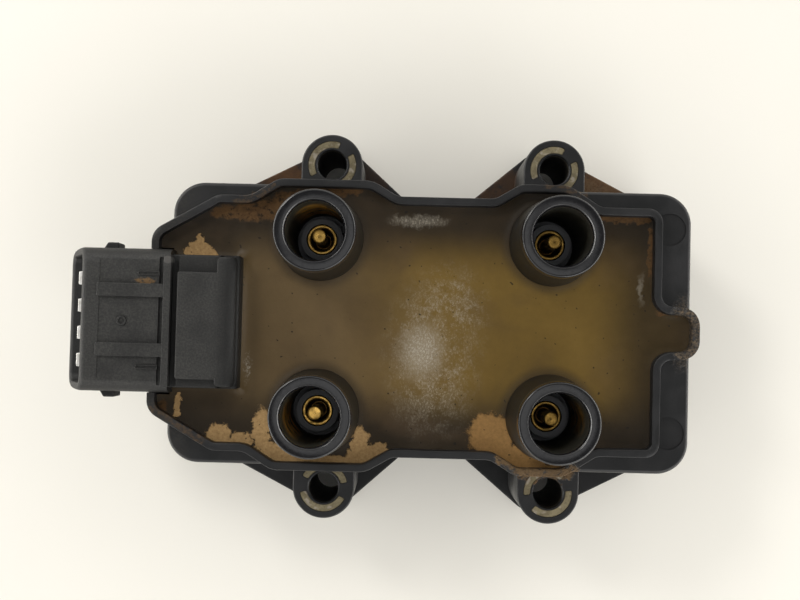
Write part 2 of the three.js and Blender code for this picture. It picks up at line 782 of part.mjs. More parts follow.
// ---- the potting -------------------------------------------------------------------------
// The bays under the resin that a coil sits in, open to the case's floor.
function coilBays(coil) {
  const bottom = CASE.floor - CUT;
  const reach = PRIMARY.cheekReach + GAP;
  const postHalfY = PRIMARY.cheek / 2 + GAP;
  return [
    centredBlock(coil.x, 0, coreHalfX + GAP, coreHalfY + GAP, bottom, stackZ[1] + GAP),
    centredBlock(coil.x, 0, reach, PRIMARY.halfLength + GAP, bottom, COIL.z + reach),
    ...[-postY, postY].map((y) =>
      centredBlock(postX(coil), y, POST.halfX + GAP, postHalfY, COIL.z, POST.top + GAP),
    ),
  ];
}

function strapBay(at) {
  const y = [at.y, Math.sign(at.y) * PRIMARY.halfLength].sort((a, b) => a - b);
  const half = STRAP.width / 2 + GAP;
  const bottom = SOCKET.stemEnd - GAP;
  return union([
    cylinder(at.x, at.y, STRAP.eye + GAP, bottom, TOWER.bottom),
    block(at.x - half, at.x + half, ...y, bottom, STRAP.z + STRAP.thick / 2 + GAP),
  ]);
}

// Resin that fills the cup round everything else. Each piece keeps its own clearance.
function potting() {
  const inset = insetCorners(CUP_OUTLINE, CUP.wall + GAP);
  const full = prism(roundedShape(inset), CASE.floor + GAP, POTTING_TOP);
  const overhangTop = CUP.overhangBottom + CUP.floor + GAP;
  return cutAll(full, [
    slab(-FAR, CASE.left + CASE.wall + GAP).intersect(block(-FAR, FAR, -FAR, FAR, 0, overhangTop)),
    underSpout(CUP_END - CUP.wall - GAP, CUP.spoutBottom + CUP.floor + GAP),
    ...COILS.flatMap(coilBays),
    ...TOWERS.map(strapBay),
    ...TOWERS.map((at) => towerEnvelope(at, GAP)),
    ...BLADES.map(leadTunnel),
    ...BLADES.map((i) => bladeSolid(i, GAP)),
    connectorRoot(GAP),
  ]);
}

// ---- the assembly ------------------------------------------------------------------------
const coilPack = new THREE.Group();
coilPack.name = "ignition_coil";

function place(name, made, material) {
  const mesh = new THREE.Mesh(geometryOf(made), material);
  mesh.name = name;
  coilPack.add(mesh);
}

place("housing", housing(), MATERIAL.case);
place("potting", potting(), MATERIAL.potting);
place("connector_body", connectorBody(), MATERIAL.connector);
for (const lug of LUGS) place(`mount_sleeve_${lug.name}`, sleeve(lug), MATERIAL.zinc);
for (const at of TOWERS) {
  place(`ht_tower_${at.n}`, tower(at), MATERIAL.tower);
  place(`ht_socket_${at.n}`, socket(at), MATERIAL.brass);
  place(`ht_pin_${at.n}`, terminalPin(at), MATERIAL.brass);
  place(`ht_strap_${at.n}`, htStrap(at), MATERIAL.copper);
}
for (const i of BLADES) {
  place(`connector_blade_${i + 1}`, blade(i), MATERIAL.tin);
  place(`primary_lead_${i + 1}`, lead(i), MATERIAL.copper);
}
for (const coil of COILS) {
  place(`core_e_${coil.name}`, coreE(coil), MATERIAL.steel);
  place(`core_i_${coil.name}`, coreI(coil), MATERIAL.steel);
  place(`gap_shim_${coil.name}`, gapShim(coil), MATERIAL.shim);
  place(`primary_bobbin_${coil.name}`, primaryBobbin(coil), MATERIAL.bobbin);
  place(`primary_winding_${coil.name}`, primaryWinding(coil), MATERIAL.copper);
  place(`secondary_bobbin_${coil.name}`, secondaryBobbin(coil), MATERIAL.bobbin);
  place(`secondary_winding_${coil.name}`, secondaryWinding(coil), MATERIAL.copper);
}

export default coilPack;
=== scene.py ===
"""Looks of the ignition coil pack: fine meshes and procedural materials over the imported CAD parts.

Lengths are in millimetres until an object is made, and in metres from there on. The frame is the
CAD's: the origin is the centre of the four bolt holes on the mounting plane, +X runs away from the
connector and +Z runs towards the tower mouths.
"""

import json
import math
from types import SimpleNamespace as Sizes

import bmesh
import bpy
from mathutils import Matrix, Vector, noise

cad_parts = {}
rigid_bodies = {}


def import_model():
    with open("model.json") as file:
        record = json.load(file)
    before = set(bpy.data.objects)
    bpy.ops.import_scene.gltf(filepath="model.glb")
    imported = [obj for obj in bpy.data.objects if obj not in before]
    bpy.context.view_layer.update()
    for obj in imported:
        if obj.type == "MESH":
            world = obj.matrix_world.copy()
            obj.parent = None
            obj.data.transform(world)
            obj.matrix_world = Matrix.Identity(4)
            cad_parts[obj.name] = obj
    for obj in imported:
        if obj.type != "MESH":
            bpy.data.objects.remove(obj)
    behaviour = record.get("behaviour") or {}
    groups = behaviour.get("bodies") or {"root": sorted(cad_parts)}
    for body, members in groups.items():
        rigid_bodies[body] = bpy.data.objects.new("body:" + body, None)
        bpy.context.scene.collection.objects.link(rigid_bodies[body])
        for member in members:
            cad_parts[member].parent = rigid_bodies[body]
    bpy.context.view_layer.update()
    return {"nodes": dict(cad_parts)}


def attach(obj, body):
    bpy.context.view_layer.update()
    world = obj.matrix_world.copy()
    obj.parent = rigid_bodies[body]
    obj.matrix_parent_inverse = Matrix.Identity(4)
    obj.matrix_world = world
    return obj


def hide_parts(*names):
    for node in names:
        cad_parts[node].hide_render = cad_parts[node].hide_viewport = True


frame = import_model()

# ---- sizes ---------------------------------------------------------------------------------
MM = 0.001
FAR = 500.0
HAIR = 0.02  # keeps two faces that would coincide apart
SHARP_EDGE = math.radians(32)

CASE = Sizes(left=-50.0, right=46.0, half=25.9, corner=5.8, shelf=30.0, wall=1.8)
CASE_FLOOR = 2.2
LEFT_BLOCK_END = -25.0
RIGHT_BLOCK_END = 20.0
CUP = Sizes(rim=33.0, wall=1.5, foot=24.5, core_top=28.0, overhang=18.0, spout=22.0)
CUP_FLOOR = 2.0
OVERHANG_END = -45.0
SPOUT_START = 36.0
CUP_HALF = [  # from the connector end to the spout: x, y and corner radius
    (-53.3, 16.45, 3.4),
    (-41.4, 23.35, 3.0),
    (-35.5, 23.35, 4.0),
    (-30.3, 26.6, 4.0),
    (-13.2, 26.6, 5.0),
    (-8.4, 23.8, 3.0),
    (9.4, 23.8, 3.0),
    (14.0, 26.6, 4.0),
    (22.7, 26.6, 4.0),
    (28.8, 22.7, 3.0),
    (40.1, 22.7, 2.6),
    (40.1, 5.0, 2.0),
    (47.13, 4.6, 3.4),
]
CUP_END = 40.1
POTTING = Sizes(top=31.0, deep=4.0, grid=0.5, into_wall=0.75, tower_hole=6.6)
MENISCUS = 0.7  # how far the resin takes to level out from what it climbs
POCKET = Sizes(x=42.15, y=14.7, half_x=2.0, half_y=7.2)
EJECTOR_MARKS = [(42.0, 19.2), (42.2, -18.4)]
EJECTOR = Sizes(radius=3.0, depth=0.22)

LUG = Sizes(x=21.3, y=30.75, top=23.0, radius=5.85, foot=6.48, plate=4.0)
LUGS = {  # the side of each along X and Y, and the angle of its sleeve's bridge
    "nw": (-1, 1, 50),
    "ne": (1, 1, 44),
    "sw": (-1, -1, -7),
    "se": (1, -1, 27),
}
BRIDGE_HALF_ANGLE = 20
BOLT_RADIUS = 2.8
BOLT_MOUTH = Sizes(radius=3.2, low=22.75, high=23.2)
SLEEVE = Sizes(inner=3.3, radius=4.6, shoulder=22.1, top=22.9)
FLANGE_LEAN = math.radians(27)

TOWER = Sizes(x=21.35, y=16.0, centre=-1.2, rim=46.38, foot=8.1)
SIDES = [(-1, 1), (1, 1), (-1, -1), (1, -1)]
TOWERS = {n: (TOWER.centre + sx * TOWER.x, sy * TOWER.y) for n, (sx, sy) in enumerate(SIDES, 1)}

SHROUD = Sizes(half=13.0, bottom=24.6, top=36.6, corner=3.0, wall=1.5)
MOUTH = Sizes(upper=-64.5, lower=-70.0, corner=2.8)
SOCKET_FLOOR = -52.0
BAR = Sizes(left=-50.0, right=-48.7, half=11.9)
GROOVE_END = -47.6
NOTCH = Sizes(left=-60.0, right=-44.0, play=0.15)
RECESS = Sizes(low=-11.6, high=11.4, depth=0.12)
GAP = Sizes(left=-50.9, right=-49.9, depth=0.6)
DOT = Sizes(x=-57.4, y=-0.2)
ROOT = Sizes(right=-36.5, half=12.0, top=35.9)
PAD = Sizes(top=37.3, low=-10.4, high=8.9, right=-40.4, wide_right=-36.9)
RIB = Sizes(y=5.35, half=1.2, left=-61.9)
RIDGE = Sizes(left=-54.8, right=-50.7, y=8.4, half=0.45)
RAMP = Sizes(left=-62.5, right=-59.15, out=1.1, slope=1.3, low=28.2, high=33.0)
BLADE = Sizes(pitch=5.0, width=2.8, thick=0.8, tip=-66.8, nose=1.6, nose_width=2.3)
BLADE_Z = 30.8
BLADE_BEND = Sizes(x=-43.0, tail=21.6, width=1.6)

# The studio, in metres, watts and degrees. The lens is in millimetres.
WHITE = (1.0, 1.0, 1.0)
WARM = (1.0, 0.985, 0.95)
LIGHTS = {  # place, size, power and tint
    "key": ((-0.38, 0.38, 0.55), 0.16, 1.15, WARM),
    "fill": ((0.3, -0.5, 0.45), 0.4, 1.1, WHITE),
    "lamp": ((0.015, -0.015, 0.8), 0.3, 0.32, WHITE),
}
LIT_POINT = Vector((0, 0, 0.02))
FLOOR = Sizes(half=0.9, drop=0.0002)
ROOM = Sizes(horizon=1.42, overhead=0.12, fall=(0.6, 0.92))
WINDOWS = Sizes(strength=9.0, rise=(0.18, 0.06), aside=(0.45, 0.9))
CAMERA = Sizes(place=(-0.00685, -0.00229, 0.2424), turn=(1.955, 0.161, 1.446), lens=51.75)


# ---- outlines ------------------------------------------------------------------------------
def filleted(corners, arc_step=9.0):
    """Points along a closed outline of (x, y, radius) corners."""
    points = []
    for i, (x, y, radius) in enumerate(corners):
        here = Vector((x, y))
        back = (Vector(corners[i - 1][:2]) - here).normalized()
        ahead = (Vector(corners[(i + 1) % len(corners)][:2]) - here).normalized()
        if radius == 0:
            points.append(here)
            continue
        half = math.acos(max(-1, min(1, back.dot(ahead)))) / 2
        centre = here + (back + ahead).normalized() * (radius / math.sin(half))
        start = here + back * (radius / math.tan(half)) - centre
        end = here + ahead * (radius / math.tan(half)) - centre
        turn = math.atan2(start.x * end.y - start.y * end.x, start.dot(end))
        steps = max(2, math.ceil(abs(math.degrees(turn)) / arc_step))
        for k in range(steps + 1):
            angle = math.atan2(start.y, start.x) + turn * k / steps
            points.append(centre + Vector((math.cos(angle), math.sin(angle))) * radius)
    return points


def densified(points, step):
    """The same closed outline with no edge longer than step."""
    dense = []
    for i, here in enumerate(points):
        ahead = points[(i + 1) % len(points)]
        count = max(1, math.ceil((ahead - here).length / step))
        dense.extend(here.lerp(ahead, k / count) for k in range(count))
    return dense


def inward_normals(points):
    """Unit normals to the left of an anticlockwise outline."""
    normals = []
    for i, here in enumerate(points):
        before = (here - points[i - 1]).normalized()
        after = (points[(i + 1) % len(points)] - here).normalized()
        along = (before + after).normalized()
        normals.append(Vector((-along.y, along.x)))
    return normals


def inset(points, distance):
    """An anticlockwise outline moved in by distance."""
    return [p + n * distance for p, n in zip(points, inward_normals(points))]


def clipped(points, low=-FAR, high=FAR):
    """The part of a closed outline that lies between two planes across X."""
    for side, limit in ((1, low), (-1, high)):
        kept = []
        for i, here in enumerate(points):
            before = points[i - 1]
            if (before.x - limit) * (here.x - limit) < 0:
                kept.append(before.lerp(here, (limit - before.x) / (here.x - before.x)))
            if side * (here.x - limit) >= 0:
                kept.append(here)
        points = kept
    return points


def mirrored_y(corners):
    """The (x, y, radius) corners on the other side of the X axis, still anticlockwise."""
    return [(x, -y, r) for x, y, r in reversed(corners)]


def circle(x, y, radius, count=96):
    angles = [2 * math.pi * i / count for i in range(count)]
    return [Vector((x + radius * math.cos(a), y + radius * math.sin(a))) for a in angles]


def rectangle(x0, x1, y0, y1, *radii):
    """Corners of a rectangle, anticlockwise from its lowest left one, with one radius or four."""
    radii = radii * 4 if len(radii) == 1 else radii
    return list(zip((x0, x1, x1, x0), (y0, y0, y1, y1), radii))


def arc_band(x, y, inner, outer, start, end, corner):
    """The outline of a piece of a ring between two angles, with rounded corners."""
    middle = (inner + outer) / 2
    low, high = start * middle, end * middle
    turned = []
    for p in densified(filleted(rectangle(inner, outer, low, high, corner), 30), 0.35):
        angle = p.y / middle
        turned.append(Vector((x + p.x * math.cos(angle), y + p.x * math.sin(angle))))
    return turned


CUP_OUTLINE = densified(filleted([*reversed(CUP_HALF), *((x, -y, r) for x, y, r in CUP_HALF)]), 1.2)
CUP_INNER = inset(CUP_OUTLINE, CUP.wall)


def distance_to(outline, x, y):
    """Distance from a point to a closed outline, and whether the point is inside it."""
    best = 1e9
    inside = False
    for i, b in enumerate(outline):
        a = outline[i - 1]
        edge = b - a
        t = max(0.0, min(1.0, ((x - a.x) * edge.x + (y - a.y) * edge.y) / edge.length_squared))
        best = min(best, math.hypot(a.x + edge.x * t - x, a.y + edge.y * t - y))
        if (a.y > y) != (b.y > y) and x < a.x + (y - a.y) / edge.y * edge.x:
            inside = not inside
    return best, inside


# ---- pieces --------------------------------------------------------------------------------
def placed(name, data):
    """A new object in the scene that shows a mesh, lamp or camera."""
    obj = bpy.data.objects.new(name, data)
    bpy.context.scene.collection.objects.link(obj)
    return obj


def soften(obj):
    """Bakes an object's modifiers, then gives it smooth faces with sharp edges and even normals."""
    for weighted in (False, True):
        if weighted:
            for face in obj.data.polygons:
                face.use_smooth = True
            obj.data.set_sharp_from_angle(angle=SHARP_EDGE)
            obj.modifiers.new("even", "WEIGHTED_NORMAL").keep_sharp = True
        bpy.context.view_layer.update()
        evaluated = obj.evaluated_get(bpy.context.evaluated_depsgraph_get())
        baked = bpy.data.meshes.new_from_object(evaluated)
        obj.modifiers.clear()
        old = obj.data
        obj.data = baked
        bpy.data.meshes.remove(old)


class Piece:
    """Closed solids gathered into one object."""

    def __init__(self, name):
        self.name = name
        self.verts = []
        self.faces = []
        self.starts = []

    def loft(self, rings, ring_closed=False):
        """Skins rings of 3-D points that all have the same count. The first and last ring are
        capped, or joined to each other if ring_closed."""
        count = len(rings[0])
        base = len(self.verts)
        self.starts.append((base, len(self.faces)))
        for ring in rings:
            self.verts.extend(Vector(p) for p in ring)
        spans = len(rings) if ring_closed else len(rings) - 1
        for k in range(spans):
            low = base + k * count
            high = base + (k + 1) % len(rings) * count
            for i in range(count):
                j = (i + 1) % count
                self.faces.append((low + i, low + j, high + j, high + i))
        if not ring_closed:
            self.faces.append(tuple(base + i for i in reversed(range(count))))
            self.faces.append(tuple(base + spans * count + i for i in range(count)))

    def prism(self, outline, z0, z1, round_top=0.0, round_bottom=0.0, steps=4):
        """An upright solid over an anticlockwise outline, with rounded edges."""
        levels = []
        for k in range(steps + 1 if round_bottom else 1):
            angle = math.pi / 2 * (1 - k / steps)
            rise = round_bottom * (1 - math.sin(angle))
            levels.append((round_bottom * (1 - math.cos(angle)), z0 + rise))
        for k in range(steps + 1 if round_top else 1):
            angle = math.pi / 2 * k / steps
            drop = round_top * (1 - math.sin(angle))
            levels.append((round_top * (1 - math.cos(angle)), z1 - drop))
        self.layered(outline, levels)

    def layered(self, outline, levels):
        """An upright solid through copies of an outline, moved in by an offset at each height."""
        self.loft([[(p.x, p.y, z) for p in inset(outline, offset)] for offset, z in levels])

    def box(self, x0, x1, y0, y1, z0, z1, edge, corner):
        """A block with rounded upright corners and rounded top and bottom edges."""
        r = min(corner, (x1 - x0) / 2.2, (y1 - y0) / 2.2)
        edge = min(edge, r * 0.8)
        self.prism(filleted(rectangle(x0, x1, y0, y1, r), 22.5), z0, z1, edge, edge, 3)

    def turned(self, x, y, profile, segments=96):
        """A solid of revolution about an upright axis. The profile of (radius, z) starts and ends
        on the axis, or closes on itself."""
        on_axis = profile[0][0] == 0
        open_profile = profile[1:-1] if on_axis else profile
        rings = [[(p.x, p.y, z) for p in circle(x, y, radius, segments)] for radius, z in open_profile]
        self.loft(rings, ring_closed=not on_axis)

    def objects(self):
        """Each solid as a mesh object of its own."""
        ends = [*self.starts[1:], (len(self.verts), len(self.faces))]
        made = []
        for (vert, face), (vert_end, face_end) in zip(self.starts, ends):
            faces = [tuple(v - vert for v in loop) for loop in self.faces[face:face_end]]
            made.append(self.object(self.verts[vert:vert_end], faces))
        return made

    def object(self, verts, faces):
        """A mesh object, in metres, with its faces turned outwards."""
        mesh = bpy.data.meshes.new(self.name)
        mesh.from_pydata([v * MM for v in verts], [], faces)
        made = bmesh.new()
        made.from_mesh(mesh)
        bmesh.ops.recalc_face_normals(made, faces=made.faces)
        made.to_mesh(mesh)
        made.free()
        return placed(self.name, mesh)

    def build(self, material, node, cutter=None):
        """Finishes the object in place of a CAD node, riding on the row's one body. With a cutter,
        the solids are merged into one first, and the cutter's solids are taken out of it."""
        tools = []
        if cutter:
            obj, *others = self.objects()
            tools = [("UNION", tool) for tool in others]
            tools += [("DIFFERENCE", tool) for tool in cutter.objects()]
        else:
            obj = self.object(self.verts, self.faces)
        obj.data.materials.append(material)
        for operation, tool in tools:
            modifier = obj.modifiers.new("cut", "BOOLEAN")
            modifier.operation = operation
            modifier.solver = "MANIFOLD"
            modifier.object = tool
        soften(obj)
        for _, tool in tools:
            bpy.data.objects.remove(tool)
        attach(obj, "root")
        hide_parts(node)


# ---- node graphs ---------------------------------------------------------------------------
class Graph:
    """The nodes of a material or of the world, with short ways to wire the usual ones."""

    def __init__(self, owner, coordinates, scale):
        owner.use_nodes = True
        self.nodes = owner.node_tree.nodes
        self.links = owner.node_tree.links
        self.place = self.scaled(self.node("TexCoord", {}).outputs[coordinates], scale)
        self.x, self.y, self.z = self.split(self.place)

    def node(self, kind, sockets, **settings):
        """A new node with its settings made and its sockets fed."""
        made = self.nodes.new("ShaderNode" + kind)
        for name, value in settings.items():
            setattr(made, name, value)
        for name, value in sockets.items():
            self.feed(made.inputs[name], value)
        return made

    def feed(self, socket, value):
        """Links a socket to another node's output, or sets it to a number, vector or colour."""
        if isinstance(value, bpy.types.NodeSocket):
            self.links.new(value, socket)
        elif socket.type == "RGBA":
            socket.default_value = (*value, 1.0)
        else:
            socket.default_value = value

    def split(self, vector):
        return self.node("SeparateXYZ", {"Vector": vector}).outputs

    def math(self, operation, a, b=0.0, clamp=False):
        return self.node("Math", {0: a, 1: b}, operation=operation, use_clamp=clamp).outputs[0]

    def vector(self, operation, a, b):
        """A vector, or a number for DISTANCE and DOT_PRODUCT."""
        gives_number = operation in ("DISTANCE", "DOT_PRODUCT")
        made = self.node("VectorMath", {0: a, 1: b}, operation=operation)
        return made.outputs["Value" if gives_number else "Vector"]

    def scaled(self, vector, factor):
        made = self.node("VectorMath", {0: vector, "Scale": factor}, operation="SCALE")
        return made.outputs["Vector"]

    def ramp(self, value, low, high, out_low=0.0, out_high=1.0):
        """Smooth step of value from low to high, which runs down where low is above high."""
        sockets = {"Value": value, "From Min": low, "From Max": high}
        sockets.update({"To Min": out_low, "To Max": out_high})
        return self.node("MapRange", sockets, interpolation_type="SMOOTHSTEP").outputs["Result"]

    def both(self, *masks):
        product = masks[0]
        for mask in masks[1:]:
            product = self.math("MULTIPLY", product, mask)
        return product

    def either(self, *masks):
        largest = masks[0]
        for mask in masks[1:]:
            largest = self.math("MAXIMUM", largest, mask)
        return largest


class Material(Graph):
    """A material, painted in layers. Texture space is the row frame in millimetres."""

    def __init__(self, name):
        self.material = bpy.data.materials.new(name)
        super().__init__(self.material, "Object", 1 / MM)
        self.shader = self.nodes["Principled BSDF"]
        self.plan = self.flat(self.place)
        self.color = None

    def flat(self, vector):
        return self.vector("MULTIPLY", vector, (1, 1, 0))

    def noise_node(self, size, detail, roughness, stretch=(1, 1, 1), seed=0.0, distortion=0.0):
        offset = (seed * 17.3, seed * 5.1, seed * 9.7)
        moved = self.node("Mapping", {"Vector": self.place, "Location": offset, "Scale": stretch})
        sockets = {"Vector": moved.outputs["Vector"], "Scale": 1.0 / size, "Detail": detail}
        return self.node("TexNoise", {**sockets, "Roughness": roughness, "Distortion": distortion})

    def noise(self, size, detail=3.0, roughness=0.5, **more):
        """Fractal noise whose features are about size millimetres across."""
        return self.noise_node(size, detail, roughness, **more).outputs["Fac"]

    def clumps(self, size, seed, low, high, detail=5.0, roughness=0.75):
        """A mask of crumbly clumps."""
        return self.ramp(self.noise(size, detail, roughness, seed=seed), low, high)

    def warp(self, size, amount):
        """Shifts what spot() and stroke() read by up to about amount, for ragged edges."""
        shift = self.noise_node(size, 5.0, 0.65, seed=20.0).outputs["Color"]
        centred = self.vector("SUBTRACT", shift, (0.5, 0.5, 0.5))
        self.plan = self.flat(self.vector("ADD", self.place, self.scaled(centred, 4 * amount)))

    def ragged(self, mask, size, seed):
        """A mask whose soft edges are torn into flecks, with small holes."""
        torn = self.math("ADD", mask, self.noise(size, 6.0, 0.8, seed=seed))
        return self.ramp(torn, 0.86, 1.12)

    def spot(self, x, y, reach_x, reach_y, soft=0.25):
        """1 inside an ellipse in plan, falling to 0 outside it."""
        away = self.vector("SUBTRACT", self.plan, (x, y, 0))
        away = self.vector("MULTIPLY", away, (1 / reach_x, 1 / reach_y, 0))
        return self.ramp(self.vector("DISTANCE", away, (0, 0, 0)), 1 + soft, 1 - soft)

    def stroke(self, start, end, reach, soft=0.25):
        """1 within reach of a line between two points in plan, falling to 0 outside it."""
        start, end = Vector((*start, 0)), Vector((*end, 0))
        along = end - start
        away = self.vector("SUBTRACT", self.plan, tuple(start))
        share = self.vector("DOT_PRODUCT", away, tuple(along / along.length_squared))
        nearest = self.scaled(tuple(along), self.math("ADD", share, 0.0, clamp=True))
        gap = self.vector("DISTANCE", away, nearest)
        return self.ramp(gap, reach * (1 + soft), reach * (1 - soft))

    def marks(self, *shapes, soft=0.25):
        """Spots, each (x, y, reach_x, reach_y), and strokes, each (start, end, reach), together."""
        drawn = [(self.spot if len(shape) == 4 else self.stroke)(*shape, soft) for shape in shapes]
        return self.either(*drawn)

    def around(self, x, y, centre):
        """Distance in plan from the nearest of four axes at (centre +- x, +- y)."""
        dx = self.math("SUBTRACT", self.math("ABSOLUTE", self.math("SUBTRACT", self.x, centre)), x)
        dy = self.math("SUBTRACT", self.math("ABSOLUTE", self.y), y)
        return self.math("SQRT", self.math("ADD", self.both(dx, dx), self.both(dy, dy)))

    def upward(self):
        """1 on faces that look up, 0 on upright and downward ones."""
        return self.ramp(self.split(self.node("NewGeometry", {}).outputs["Normal"])[2], 0.2, 0.95)

    def mix(self, factor, a, b):
        return self.node("Mix", {0: factor, 6: a, 7: b}, data_type="RGBA").outputs[2]

    def paint(self, mask, color):
        """Lays a colour over the ones before it, where mask is 1."""
        self.color = self.mix(mask, self.color, color)

    def bump(self, *layers):
        """Stacks (height, depth in millimetres) layers and wires the last one to the shader."""
        below = {}
        for height, depth in layers:
            sockets = {"Strength": 1.0, "Distance": depth * MM, "Height": height, **below}
            below = {"Normal": self.node("Bump", sockets).outputs["Normal"]}
        self.feed(self.shader.inputs["Normal"], below["Normal"])

    def finish(self, roughness, metallic=0.0, specular=0.5):
        self.feed(self.shader.inputs["Base Color"], self.color)
        self.feed(self.shader.inputs["Roughness"], roughness)
        self.feed(self.shader.inputs["Metallic"], metallic)
        self.feed(self.shader.inputs["Specular IOR Level"], specular)
        return self.material


# ---- materials -----------------------------------------------------------------------------
def case_plastic():
    """Black glass-filled plastic, smooth and bluish, with engine dirt on its flanges and wall."""
    g = Material("case_plastic")
    shelf, lug_top = CASE.shelf, LUG.top
    grain = g.noise(0.16, 2.0, 0.7)
    clouds = g.noise(7.0, 4.0, 0.6, seed=1)
    specks = g.noise(0.4, 3.0, 0.6, seed=2)
    g.color = g.mix(g.ramp(clouds, 0.35, 0.7), (0.0065, 0.0068, 0.0074), (0.0125, 0.0125, 0.0135))
    disc = EJECTOR.radius
    discs = g.marks(*((x, y, disc, disc) for x, y in EJECTOR_MARKS), soft=0.02)
    g.paint(g.both(discs, g.ramp(g.z, shelf - 1.0, shelf - 0.5), 0.7), (0.003, 0.003, 0.0035))
    g.warp(1.4, 1.0)
    dusty_end = g.both(g.ramp(g.x, -44.0, -49.0), g.ramp(g.z, 24.0, 29.0))
    g.paint(g.both(dusty_end, g.upward(), g.ramp(specks, 0.3, 0.7)), (0.022, 0.02, 0.017))

    low = g.both(g.ramp(g.z, 11.0, 5.0), g.ramp(g.z, 1.0, 3.0))
    flanges = g.either(
        g.marks((-29.0, 29.5, 8.0, 4.0), (29.0, 29.0, 9.0, 4.5)),
        g.both(g.spot(-14.0, 29.5, 3.5, 4.5), 0.3),
        g.both(g.spot(13.0, 29.0, 5.5, 4.5), 0.6),
    )
    earth = g.mix(g.noise(1.8, 4.0, 0.65, seed=3), (0.03, 0.013, 0.005), (0.11, 0.05, 0.016))
    g.paint(g.both(low, flanges, g.clumps(2.6, 4, 0.24, 0.5, roughness=0.7)), earth)
    pale = g.both(low, g.spot(29.0, 29.0, 7.0, 3.0, 0.5), g.ramp(specks, 0.3, 0.6), 0.5)
    g.paint(pale, (0.15, 0.1, 0.05))

    above = g.ramp(g.z, lug_top - 0.8, lug_top - 0.1)
    smear = g.marks(
        ((-38.5, 21.6), (-31.0, 25.2), 0.7),
        ((19.5, 26.9), (26.0, 25.4), 0.9),
        ((-52.0, -16.0), (-43.0, -21.5), 0.8),
    )
    smear = g.both(smear, g.clumps(1.0, 6, 0.42, 0.6), above)
    g.paint(smear, g.mix(specks, (0.03, 0.019, 0.01), (0.075, 0.045, 0.022)))
    spill = g.marks(
        ((11.5, -23.4), (16.0, -26.0), 1.2),
        ((16.0, -26.2), (24.6, -26.0), 1.5),
        (18.3, -28.3, 1.4, 0.8),
        (23.6, -27.6, 2.0, 0.9),
    )
    spill = g.both(spill, g.clumps(1.2, 5, 0.3, 0.46), above)
    g.paint(spill, g.mix(specks, (0.05, 0.027, 0.01), (0.17, 0.105, 0.045)))

    crust = g.both(g.spot(45.0, 0.0, 3.0, 6.4), g.ramp(g.z, shelf - 1.0, shelf + 1.0))
    crumbs = g.both(crust, g.clumps(0.8, 8, 0.36, 0.5))
    g.paint(crumbs, g.mix(g.clumps(0.45, 9, 0.42, 0.6), (0.006, 0.005, 0.004), (0.11, 0.078, 0.048)))
    rough = g.mix(g.either(spill, crumbs, low), g.ramp(clouds, 0.3, 0.75, 0.36, 0.52), (0.8, 0.8, 0.8))
    lumps = g.both(g.either(crust, spill), g.noise(0.9, 4.0, 0.7, seed=7))
    g.bump((clouds, 0.05), (specks, 0.012), (grain, 0.008), (lumps, 0.5))
    return g.finish(rough, specular=0.4)


def tower_distance(g):
    return g.around(TOWER.x, TOWER.y, TOWER.centre)


def tower_plastic():
    """Smooth black plastic. The outside below the rim is brown with grime and painted reflection, and
    the bore is stained, with painted light.
    """
    g = Material("tower_plastic")
    fine = g.noise(0.3, 3.0, 0.6)
    clouds = g.noise(3.0, 4.0, 0.6, seed=1)
    g.color = g.mix(clouds, (0.003, 0.003, 0.0035), (0.009, 0.009, 0.0105))
    radius = tower_distance(g)
    outside = g.both(g.ramp(radius, 6.3, 6.9), g.ramp(g.z, 45.4, 43.6))
    # Brown grime on the outside below the rim, partly a painted reflection of the resin.
    film_and_reflection = g.mix(clouds, (0.004, 0.003, 0.0015), (0.014, 0.01, 0.004))
    g.paint(g.both(outside, g.ramp(g.noise(2.2, 4.0, 0.6, seed=3), 0.2, 0.55)), film_and_reflection)
    # Painted light: the bore below the rim is made lighter than the black plastic.
    inside = g.both(g.ramp(radius, 5.3, 5.1), g.ramp(g.z, 45.6, 44.8))
    g.paint(inside, g.mix(clouds, (0.02, 0.02, 0.015), (0.05, 0.048, 0.036)))
    wall = g.both(g.ramp(radius, 4.3, 4.9), g.ramp(radius, 5.6, 5.35))
    wall = g.both(wall, g.ramp(g.z, 23.5, 27.0), g.ramp(g.z, 42.0, 37.0))
    # Stains on the bore walls, painted much brighter where light falls into the bores.
    stain_and_light = g.marks((-23.4, 21.0, 3.9, 1.9), (-27.2, -18.2, 1.7, 3.4), soft=0.7)
    stain_and_light = g.either(stain_and_light, g.both(g.spot(25.2, -15.0, 1.5, 2.6, 0.8), 0.45))
    g.paint(g.both(wall, stain_and_light, g.ramp(g.noise(2.4, 2.0, 0.4, seed=6), 0.25, 0.6)), (0.8, 0.4, 0.06))
    # Painted light on the faces that look up inside the bore, such as the collar's top.
    g.paint(g.both(inside, g.upward()), (0.26, 0.265, 0.28))
    scratches = g.noise(0.5, 3.0, 0.7, stretch=(1, 1, 0.12), seed=4)
    rough = g.ramp(scratches, 0.3, 0.8, 0.12, 0.24)
    rough = g.mix(g.either(outside, inside), rough, (0.55, 0.55, 0.55))
    g.bump((clouds, 0.006), (fine, 0.004))
    return g.finish(rough, specular=g.ramp(outside, 0.0, 1.0, 0.5, 0.2))


